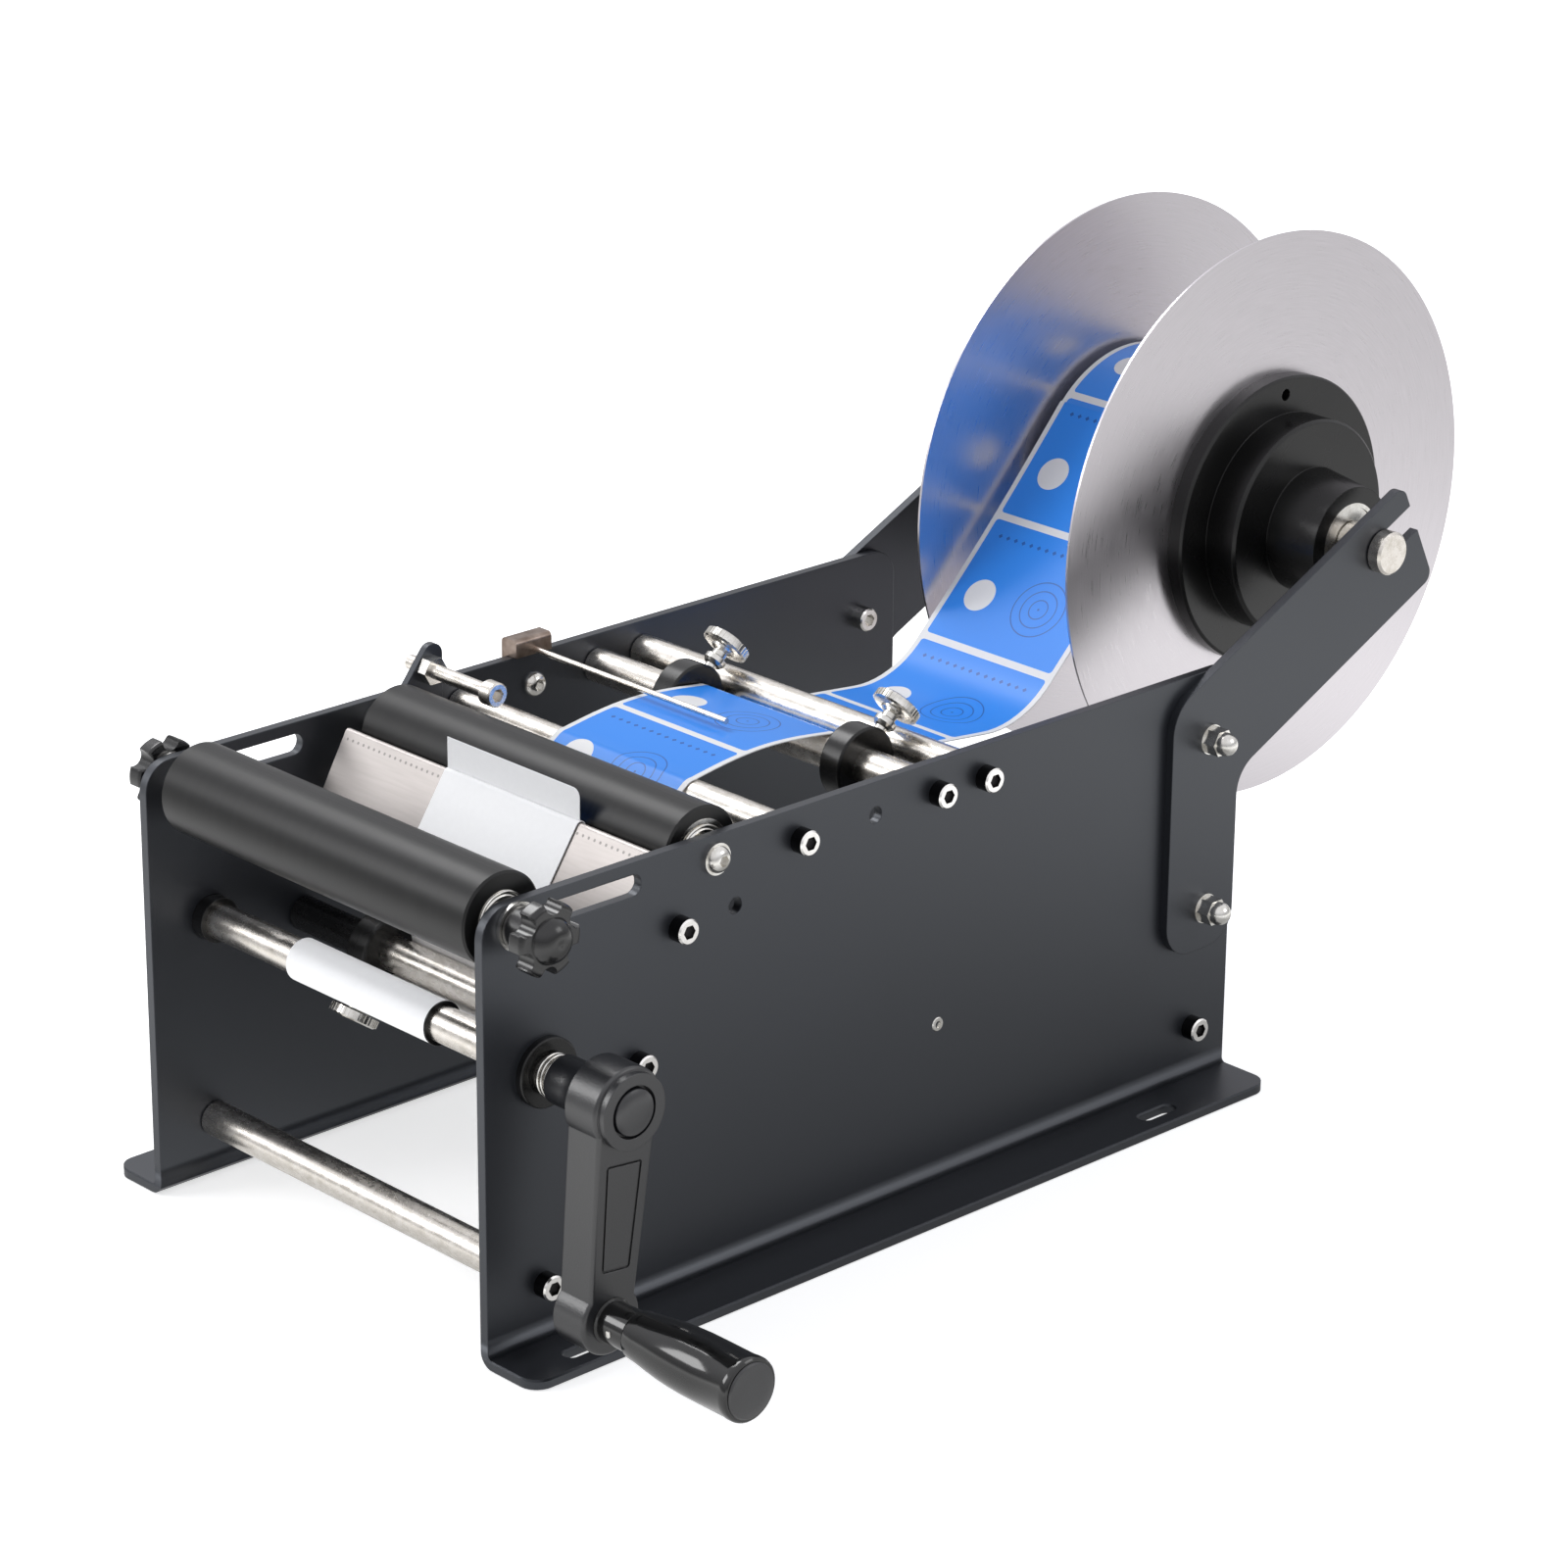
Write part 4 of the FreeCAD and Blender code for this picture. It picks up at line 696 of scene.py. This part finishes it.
# what the web runs round, Y, Z, radius of the middle of the web, way round, drift to the
# right, and rise of the middle of the span before it
wraps = [
    ("label roll", 474.4, 208.0, 57.0 + WEB_HALF, 1, 0.0, 0.0),
    ("slack loop", 319.0, 195.0, 45.0, -1, 0.5, -2.0),
    ("rear web rod", 250.5, 165.5, ROD_RADIUS + WEB_HALF, -1, 2.4, 0.0),
    ("collar rod", 225.5, 165.5, ROD_RADIUS + WEB_HALF, 1, 3.0, 0.0),
    ("front web rod", 153.5, 165.5, ROD_RADIUS + WEB_HALF, 1, 4.5, 3.4),
    ("rear roller", 111.0, 169.5, 18.0 + WEB_HALF, -1, 7.0, 0.0),
    ("peel edge", *peel_edge, HEM_RADIUS + WEB_HALF, 1, 12.0, 0.0),
    ("peel foot", *peel_low, FOOT_RADIUS + WEB_HALF, 1, 9.0, 0.0),
    ("guide rod", 73.0, 99.0, ROD_RADIUS + WEB_HALF, -1, 1.0, 0.0),
    ("liner roll", 28.2, 109.8, 8.5 + WEB_HALF, -1, 2.0, 0.0),
]
print("circles:", [row[0] for row in wraps])

# %% [markdown]
# Between two circles the web is straight, apart from its slack, and leaves the one and
# meets the other at a right angle to their radii. From the two radii and the ways round
# comes the heading of the span, and from the heading the angle of both points.

# %% Line of the web
# steps in a span with slack and in a straight one
SAG_STEPS = 14
SPAN_STEPS = 4
NO_SWEEP = 0.001


def web_line():
    """The middle line of the web as drift, y and z, and the number of points before the peel edge."""
    points = []
    before_edge = 0
    arrival = None
    for i, (name, y, z, radius, sense, drift, _) in enumerate(wraps):
        last = i + 1 == len(wraps)
        departure = arrival
        if not last:
            next_y, next_z, next_radius, next_sense, next_drift, next_sag = wraps[i + 1][1:]
            lift = next_radius * next_sense - radius * sense
            span = math.sqrt((next_y - y) ** 2 + (next_z - z) ** 2 - lift ** 2)
            heading = math.atan2(next_z - z, next_y - y) - math.atan2(lift, span)
            departure = heading - sense * math.pi / 2
        if arrival is None:
            arrival = departure
        sweep = (departure - arrival) * sense
        while sweep < -NO_SWEEP:
            sweep += 2 * math.pi
        steps = max(1, int(math.degrees(sweep) / ARC_STEP)) if sweep > NO_SWEEP else 0
        for k in range(steps + 1):
            turn = arrival + sense * sweep * k / max(1, steps)
            points.append((drift, y + radius * math.cos(turn), z + radius * math.sin(turn)))
        if name == "peel edge":
            before_edge = len(points) - steps // 2
        if last:
            break
        start = points[-1]
        pieces = SAG_STEPS if abs(next_sag) > 0 else SPAN_STEPS
        for k in range(1, pieces):
            part = k / pieces
            rise = next_sag * math.sin(math.pi * part)
            reach_y = start[1] + math.cos(heading) * span * part
            reach_z = start[2] + math.sin(heading) * span * part + rise
            points.append((drift + (next_drift - drift) * part, reach_y, reach_z))
        arrival = heading - next_sense * math.pi / 2
    return points, before_edge


line, edge_count = web_line()
print("points along the web:", len(line), "of which before the peel edge:", edge_count)

# %% [markdown]
# The strip starts as one short plane across the web, and its far edge is extruded from
# point to point, which gives one clean face per step. Its map keeps the millimetres
# across and along it. It is thickened last, and the new faces of the back and the rims
# get plain liner.

# %% Web strip
SMOOTH_PAPER = math.radians(30)


def extruded_strip(name, points, width, offset):
    """A sheet along points of drift, y and z, with its map in tenths of a metre."""
    start_fresh()
    first, second = points[0], points[1]
    bpy.ops.mesh.primitive_plane_add(size=0.001)
    strip = bpy.context.object
    strip.name = name
    corners = [(first, -0.5), (first, 0.5), (second, -0.5), (second, 0.5)]
    for vertex, (point, side) in zip(strip.data.vertices, corners):
        vertex.co = at(point[0] + side * width, point[1], point[2])
    bpy.ops.object.mode_set(mode="EDIT")
    bpy.ops.mesh.select_mode(type="EDGE")
    bpy.ops.mesh.select_all(action="DESELECT")
    bpy.ops.object.mode_set(mode="OBJECT")
    for edge in strip.data.edges:
        edge.select = set(edge.vertices) == {2, 3}
    bpy.ops.object.mode_set(mode="EDIT")
    for here, there in zip(points[1:], points[2:]):
        step = at(*there) - at(*here)
        bpy.ops.mesh.extrude_edges_move(TRANSFORM_OT_translate={"value": step})
    bpy.ops.mesh.select_all(action="SELECT")
    bpy.ops.mesh.flip_normals()
    bpy.ops.object.mode_set(mode="OBJECT")
    lengths = [offset]
    for here, there in zip(points, points[1:]):
        lengths.append(lengths[-1] + math.dist(here[1:], there[1:]))
    layer = strip.data.uv_layers.active
    for loop in strip.data.loops:
        row = loop.vertex_index // 2
        right = loop.vertex_index % 2
        layer.data[loop.index].uv = (right * width / 100, lengths[row] / 100)
    return strip


def thicken(strip, thickness, front, back, rim=1):
    """A sheet's thickness in millimetres, its front, its back, and rims like the back (1) or front (0)."""
    strip.data.materials.append(front)
    strip.data.materials.append(back)
    shell = strip.modifiers.new("shell", "SOLIDIFY")
    shell.thickness = thickness / 1000
    shell.offset = 0.0
    shell.material_offset = 1
    shell.material_offset_rim = rim
    bpy.context.view_layer.objects.active = strip
    strip.select_set(True)
    bpy.ops.object.modifier_apply(modifier=shell.name)
    bpy.ops.object.shade_smooth_by_angle(angle=SMOOTH_PAPER)


printed_part = line[: edge_count + 1]
bare_part = line[edge_count:]
printed_length = sum(math.dist(a[1:], b[1:]) for a, b in zip(printed_part, printed_part[1:]))
web_strip = extruded_strip("web_strip", printed_part, WEB_WIDTH, 0.0)
thicken(web_strip, WEB_SHEET, label_print_web, liner_paper)
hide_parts("label_web")
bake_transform(web_strip)

liner_strip = extruded_strip("liner_strip", bare_part, WEB_WIDTH, printed_length)
thicken(liner_strip, WEB_SHEET, liner_paper, liner_paper)
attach(liner_strip, "frame")
print("strip and liner made, printed length", round(printed_length, 1), "mm")

# %% [markdown]
# One label has left the peel edge and stands upright above it, white back to the viewer.
# It is a small sheet with one rounded top corner. The corner is a bevel of one vertex,
# so it keeps its radius whatever the size of the sheet.

# %% Standing label
TAB_LOW = 175.25
TAB_TOP = 187.35
TAB_LEFT = -26.0
TAB_RIGHT = 49.6
TAB_CORNER = 3.5
TAB_SHEET = 0.3
tab_middle = at((TAB_LEFT + TAB_RIGHT) / 2, peel_edge[0], (TAB_LOW + TAB_TOP) / 2)
start_fresh()
bpy.ops.mesh.primitive_plane_add(size=1)
tab = bpy.context.object
tab.name = "standing_label"
tab.scale = ((TAB_RIGHT - TAB_LEFT) / 1000, (TAB_TOP - TAB_LOW) / 1000, 1)
tab.rotation_euler = (math.radians(90), 0, 0)
tab.location = tab_middle
bpy.ops.object.transform_apply(location=True, rotation=True, scale=True)
bpy.ops.object.mode_set(mode="EDIT")
bpy.ops.mesh.select_mode(type="VERT")
bpy.ops.mesh.select_all(action="DESELECT")
bpy.ops.object.mode_set(mode="OBJECT")
for vertex in tab.data.vertices:
    vertex.select = vertex.co.z > tab_middle.z and vertex.co.x > tab_middle.x
bpy.ops.object.mode_set(mode="EDIT")
bpy.ops.mesh.bevel(offset=TAB_CORNER / 1000, segments=6, affect="VERTICES")
bpy.ops.object.mode_set(mode="OBJECT")
thicken(tab, TAB_SHEET, liner_paper, label_print_tab, 0)
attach(tab, "frame")
print("standing label with", len(tab.data.polygons), "faces")

# %% [markdown]
# Screws, caps, collars and the grip are turned parts. Each is grown upward from one disc,
# ring by ring, as a turner would read the drawing. A ring that has a bore is grown from
# an open circle in the same way, and its two ends are bridged.

# %% Turned pieces
DISH_DEPTH = 0.4
SMOOTH_METAL = math.radians(28)


def first_ring(name, height, radius, sides, fill):
    """The lowest ring of a turned piece along Z, selected in edit mode."""
    start_fresh()
    bpy.ops.mesh.primitive_circle_add(
        vertices=sides, radius=radius / 1000, fill_type=fill, location=(0, 0, height / 1000)
    )
    piece = bpy.context.object
    piece.name = name
    bpy.ops.object.transform_apply(location=True, rotation=True, scale=True)
    bpy.ops.object.mode_set(mode="EDIT")
    return piece


def further_rings(rings, extrude):
    """Extrude the selected ring from height to height, and scale it to each radius."""
    for (height, radius), (next_height, next_radius) in zip(rings, rings[1:]):
        extrude(TRANSFORM_OT_translate={"value": (0, 0, (next_height - height) / 1000)})
        share = next_radius / radius
        bpy.ops.transform.resize(value=(share, share, 1), center_override=(0, 0, next_height / 1000))


def close_piece():
    """Turn all faces outward and leave edit mode."""
    bpy.ops.mesh.select_all(action="SELECT")
    bpy.ops.mesh.normals_make_consistent(inside=False)
    bpy.ops.object.mode_set(mode="OBJECT")


def grow(name, rings, sides, dish=0.0):
    """A turned piece from its rings of height and radius, with a dish in its top if asked."""
    piece = first_ring(name, *rings[0], sides, "NGON")
    bpy.ops.mesh.select_mode(type="FACE")
    bpy.ops.mesh.select_all(action="SELECT")
    bpy.ops.mesh.flip_normals()
    further_rings(rings, bpy.ops.mesh.extrude_region_move)
    if dish:
        bpy.ops.mesh.inset(thickness=dish / 1000)
        bpy.ops.mesh.extrude_region_move(TRANSFORM_OT_translate={"value": (0, 0, -DISH_DEPTH / 1000)})
    close_piece()
    return piece


def grow_ring(name, rings, sides):
    """A turned ring: its profile is grown edge by edge, then its ends are bridged."""
    piece = first_ring(name, *rings[0], sides, "NOTHING")
    bpy.ops.mesh.select_mode(type="EDGE")
    bpy.ops.mesh.select_all(action="SELECT")
    further_rings(rings, bpy.ops.mesh.extrude_edges_move)
    bpy.ops.mesh.select_all(action="DESELECT")
    bpy.ops.mesh.select_non_manifold()
    bpy.ops.mesh.bridge_edge_loops()
    close_piece()
    return piece


def seat(piece, turn, place, finish, body):
    """Turn a piece, put it in its place, dress it and let it ride a body."""
    piece.rotation_euler = turn
    piece.location = place
    bpy.ops.object.transform_apply(location=True, rotation=True, scale=True)
    bpy.ops.object.shade_smooth_by_angle(angle=SMOOTH_METAL)
    piece.data.materials.append(finish)
    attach(piece, body)


def set_across(piece, y, z, finish, body):
    """Seat a turned piece along X at y and z."""
    seat(piece, (0, math.radians(90), 0), at(0, y, z), finish, body)


print("helpers for turned pieces ready")

# %% [markdown]
# The thumbscrews have a thin neck under a wide head with a straight knurl. Every second
# face of the head's rim is pushed out to make the knurl, because a bump would leave the
# outline smooth. Each screw then leans in its collar as on the machine.

# %% Thumbscrews
SCREW_SIDES = 64
SCREW_RINGS = [
    (7.3, 2.5), (17.0, 2.5), (17.4, 3.6), (18.6, 4.6), (20.6, 4.6), (21.4, 3.1), (23.4, 3.1),
    (24.4, 4.9), (25.2, 5.3), (25.5, 8.6), (26.1, 9.5), (29.2, 9.5), (29.8, 8.7),
]
SCREW_DISH = 1.6
KNURL_RADIUS = 9.2
KNURL_LOW = 26.2
KNURL_HIGH = 29.1
KNURL_DEPTH = 0.35
WEB_ROD = (225.5, 165.5)
GUIDE_ROD = (73.0, 99.0)
# web or liner, side, place along the rod, Y and Z of the rod, lean from upright in degrees
SCREWS = [
    ("web", "right", 55.5, WEB_ROD, 50),
    ("web", "left", -41.4, WEB_ROD, 50),
    ("liner", "right", 52.0, GUIDE_ROD, 215),
    ("liner", "left", -45.5, GUIDE_ROD, 215),
]


def on_knurl(face):
    """Whether a face of the screw lies on the rim of its head."""
    middle = face.center
    upright = abs(face.normal.z) < 0.2
    outside = math.hypot(middle.x, middle.y) > KNURL_RADIUS / 1000
    return upright and outside and KNURL_LOW / 1000 < middle.z < KNURL_HIGH / 1000


def knurl(piece):
    """Push out every second face of the rim."""
    rim = [face for face in piece.data.polygons if on_knurl(face)]
    rim.sort(key=lambda face: math.atan2(face.center.y, face.center.x))
    for face in piece.data.polygons:
        face.select = False
    for face in rim[::2]:
        face.select = True
    bpy.ops.object.mode_set(mode="EDIT")
    bpy.ops.mesh.extrude_faces_move(TRANSFORM_OT_shrink_fatten={"value": KNURL_DEPTH / 1000})
    bpy.ops.object.mode_set(mode="OBJECT")


for kind, side, x, rod, lean in SCREWS:
    node = kind + "_thumbscrew_" + side
    screw = grow(node + "_turned", SCREW_RINGS, SCREW_SIDES, SCREW_DISH)
    knurl(screw)
    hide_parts(node)
    seat(screw, (-math.radians(lean), 0, 0), at(x, *rod), plated_steel, kind + "_screw_" + side[0])
print("faces of one thumbscrew:", len(screw.data.polygons))

# %% [markdown]
# The crank carries a domed cap in its boss and a raised panel in the long pocket of its
# arm. The cap is turned. The panel is a plane pulled to its four corners, which run
# narrower down the arm, and then extruded: a box would not follow the taper.

# %% Crank cap and panel
SHAFT = (28.2, 109.8)
TILT = math.radians(6.3)
CRANK_FACE = 145.7
PANEL_SUNK = 0.95
PANEL_THICK = 0.85
# distance down the arm and distance to the rear of each corner
PANEL_CORNERS = [(20.9, -7.4), (20.9, 7.4), (60.1, -5.7), (60.1, 5.7)]
CAP_RINGS = [(145, 9), (148.3, 9), (148.9, 8.7), (149.5, 7.6), (150.0, 5.8), (150.3, 3.8)]


def on_crank(x, down, side):
    """A point of the crank from its distance down the arm and its distance to the rear."""
    y = SHAFT[0] - down * math.sin(TILT) + side * math.cos(TILT)
    z = SHAFT[1] - down * math.cos(TILT) - side * math.sin(TILT)
    return at(x, y, z)


cap = grow("crank_cap_domed", CAP_RINGS, sides=64)
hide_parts("crank_cap")
set_across(cap, *SHAFT, crank_casting, "crank")

start_fresh()
bpy.ops.mesh.primitive_plane_add(size=0.01)
panel = bpy.context.object
panel.name = "crank_panel"
for vertex, (down, side) in zip(panel.data.vertices, PANEL_CORNERS):
    vertex.co = on_crank(CRANK_FACE - PANEL_SUNK, down, side)
bpy.ops.object.mode_set(mode="EDIT")
bpy.ops.mesh.select_all(action="SELECT")
bpy.ops.mesh.extrude_region_move(TRANSFORM_OT_translate={"value": (PANEL_THICK / 1000, 0, 0)})
close_piece()
panel.data.materials.append(crank_casting)
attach(panel, "crank")
print("cap and panel made")

# %% [markdown]
# A black collar stands between the crank's arm and the grip. The grip swells from a sharp
# edge at the collar to a low lip, with a matte plug in its end. All three are turned, and
# a small bright pin shows in the front of the collar.

# %% Collar, grip and plug
CRANK_REACH = 80.0
GRIP_AXIS = (SHAFT[0] - CRANK_REACH * math.sin(TILT), SHAFT[1] - CRANK_REACH * math.cos(TILT))
COLLAR_RADIUS = 8.0
COLLAR_RINGS = [
    (145.0, 8.8), (146.3, 8.8), (146.7, COLLAR_RADIUS), (159.6, COLLAR_RADIUS), (160.2, 7.3),
]
GRIP_RINGS = [
    (160.3, 8.0), (160.7, 9.0), (161.6, 9.3), (166, 9.7), (172, 10.6), (178, 11.35), (184, 11.85),
    (191, 12.15), (200, 12.2), (214.4, 12.2), (214.9, 12.4), (217.0, 12.4), (217.9, 12.1), (218.4, 11.5),
]
PLUG_RINGS = [(216, 10.7), (218.7, 10.7), (219.3, 10.2), (219.8, 8.4), (220.1, 6.0), (220.2, 3.5)]
PIN_X = 153
PIN_RADIUS = 1.4
PIN_LENGTH = 1.2
grip_collar = grow("grip_collar", COLLAR_RINGS, sides=64)
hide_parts("grip_spindle")
set_across(grip_collar, *GRIP_AXIS, grip_polish, "crank")
grip_body = grow("grip_turned", GRIP_RINGS, sides=96)
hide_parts("grip")
set_across(grip_body, *GRIP_AXIS, grip_polish, "crank_grip")
plug = grow("grip_plug", PLUG_RINGS, sides=96)
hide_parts("grip_end_cap")
set_across(plug, *GRIP_AXIS, crank_casting, "crank_grip")

start_fresh()
bpy.ops.mesh.primitive_cylinder_add(vertices=24, radius=PIN_RADIUS / 1000, depth=PIN_LENGTH / 1000)
pin = bpy.context.object
pin.name = "grip_collar_pin"
bpy.ops.object.mode_set(mode="EDIT")
bpy.ops.mesh.select_all(action="SELECT")
bpy.ops.mesh.bevel(offset=0.0003, segments=2, affect="EDGES")
bpy.ops.object.mode_set(mode="OBJECT")
pin_place = at(PIN_X, GRIP_AXIS[0] - COLLAR_RADIUS, GRIP_AXIS[1])
seat(pin, (math.radians(90), 0, 0), pin_place, plated_steel, "crank")
print("grip axis at", tuple(round(v, 1) for v in GRIP_AXIS))

# %% [markdown]
# A thin black ring at the end of the liner roll is painted shade: it stands for the shadow in
# the gap between the roll and its shaft. The front and the rear roller show the right faces of
# their bearings: an outer ring, a sunk seal and an inner ring. Their places are read from the
# boxes of the solids that they sit on.

# %% Painted shade at the roll end, and bearing faces
# how far each point stands out from the sleeve's end, and its radius, outside to inside
BEARING_PROFILE = [
    (-0.3, 10.9), (0.5, 10.9), (0.9, 10.6), (0.6, 10.2), (0.15, 10.0),
    (0.15, 9.6), (0.6, 9.3), (0.8, 9.0), (0.5, 8.7), (-0.3, 8.7),
]
# the black ring of painted shade at the end of the liner roll, in the same measure
GAP_SHADE_PROFILE = [(-0.5, 8.65), (0.15, 8.65), (0.3, 8.4)]
RING_SIDES = 64


def beside(end, profile):
    """A profile whose heights count from the end of a roll, as rings."""
    return [(end + out, radius) for out, radius in profile]


roll_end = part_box("liner_roll")[1][0] * 1000 + SHIFT_X
# a black ring as painted shade for the gap between the liner roll and its shaft
gap_shade_ring = grow("liner_gap_shade_ring", beside(roll_end, GAP_SHADE_PROFILE), RING_SIDES)
set_across(gap_shade_ring, *SHAFT, hub_nylon, "crank")
for roller in ("front", "rear"):
    sleeve_low, sleeve_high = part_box(roller + "_roller_sleeve")
    y = (sleeve_low[1] + sleeve_high[1]) * 500 + SHIFT_Y
    z = (sleeve_low[2] + sleeve_high[2]) * 500
    end = sleeve_high[0] * 1000 + SHIFT_X
    bearing_face = grow_ring(roller + "_bearing_face", beside(end, BEARING_PROFILE), RING_SIDES)
    set_across(bearing_face, y, z, plated_steel, roller + "_roller")
    print(roller, "bearing face at", round(end, 1), round(y, 1), round(z, 1))

# %% [markdown]
# A small set screw with a hollow end sits in the middle of the right plate. It is one
# more turned piece, with a dish for the hollow.

# %% Set screw
SET_SCREW_RINGS = [(98.5, 2.9), (100.1, 2.9), (100.4, 2.6)]
SET_SCREW_AT = (227.5, 69.4)
plate_screw = grow("plate_set_screw", SET_SCREW_RINGS, sides=48, dish=1.2)
set_across(plate_screw, *SET_SCREW_AT, plated_steel, "frame")
print("set screw faces:", len(plate_screw.data.polygons))

# %% [markdown]
# Each CAD solid now gets its finish by name. The print at the end names the solids that
# appear in no list, so nothing is left plain by mistake.

# %% Finish of every solid
finishes = {
    powder_coat: ["side_plate_right", "side_plate_left", "reel_arm_right", "reel_arm_left", "stop_bracket"],
    bar_steel: [
        "front_tie_rod", "rear_tie_rod", "peel_plate_rod", "front_web_rod", "collar_rod",
        "rear_web_rod", "takeup_shaft", "rear_roller_axle", "front_roller_axle", "reel_shaft",
        "reel_shaft_fittings", "tension_wire", "stop_screw",
    ],
    plated_steel: [
        "arm_screws", "arm_cap_nuts", "washers_and_spacers", "rear_axle_screws", "bracket_fasteners",
        "front_axle_spacers", "crank_spring", "crank_locks", "rear_roller_bearings", "front_roller_bearings",
        "hub_bearings", "web_thumbscrew_right", "web_thumbscrew_left", "liner_thumbscrew_right",
        "liner_thumbscrew_left",
    ],
    shade_painted_rod: ["liner_guide_rod"],
    cap_steel: ["rod_screws"],
    disc_steel: ["reel_disc_right", "reel_disc_left"],
    sleeve_black: ["rear_roller_sleeve", "front_roller_sleeve"],
    hub_nylon: [
        "hub_right", "hub_left", "web_collar_right", "web_collar_left", "liner_collar_right",
        "liner_collar_left", "peel_plate_saddles", "takeup_bushes",
    ],
    knob_plastic: ["star_knob_right", "star_knob_left", "crank_cap", "grip_end_cap"],
    crank_casting: ["crank_arm"],
    grip_polish: ["grip", "grip_spindle"],
    bronze: ["wire_bracket"],
    card: ["label_core"],
    liner_paper: ["liner_roll", "label_web"],
    label_print_roll: ["label_roll"],
    sheet_steel: ["peel_plate"],
}


def wear(node, finish):
    """Give every slot of a solid one finish."""
    mesh = cad[node].data
    mesh.materials.clear()
    mesh.materials.append(finish)


for finish, names in finishes.items():
    for name in names:
        wear(name, finish)
dressed = {name for names in finishes.values() for name in names}
print("undressed solids:", sorted(set(cad) - dressed))
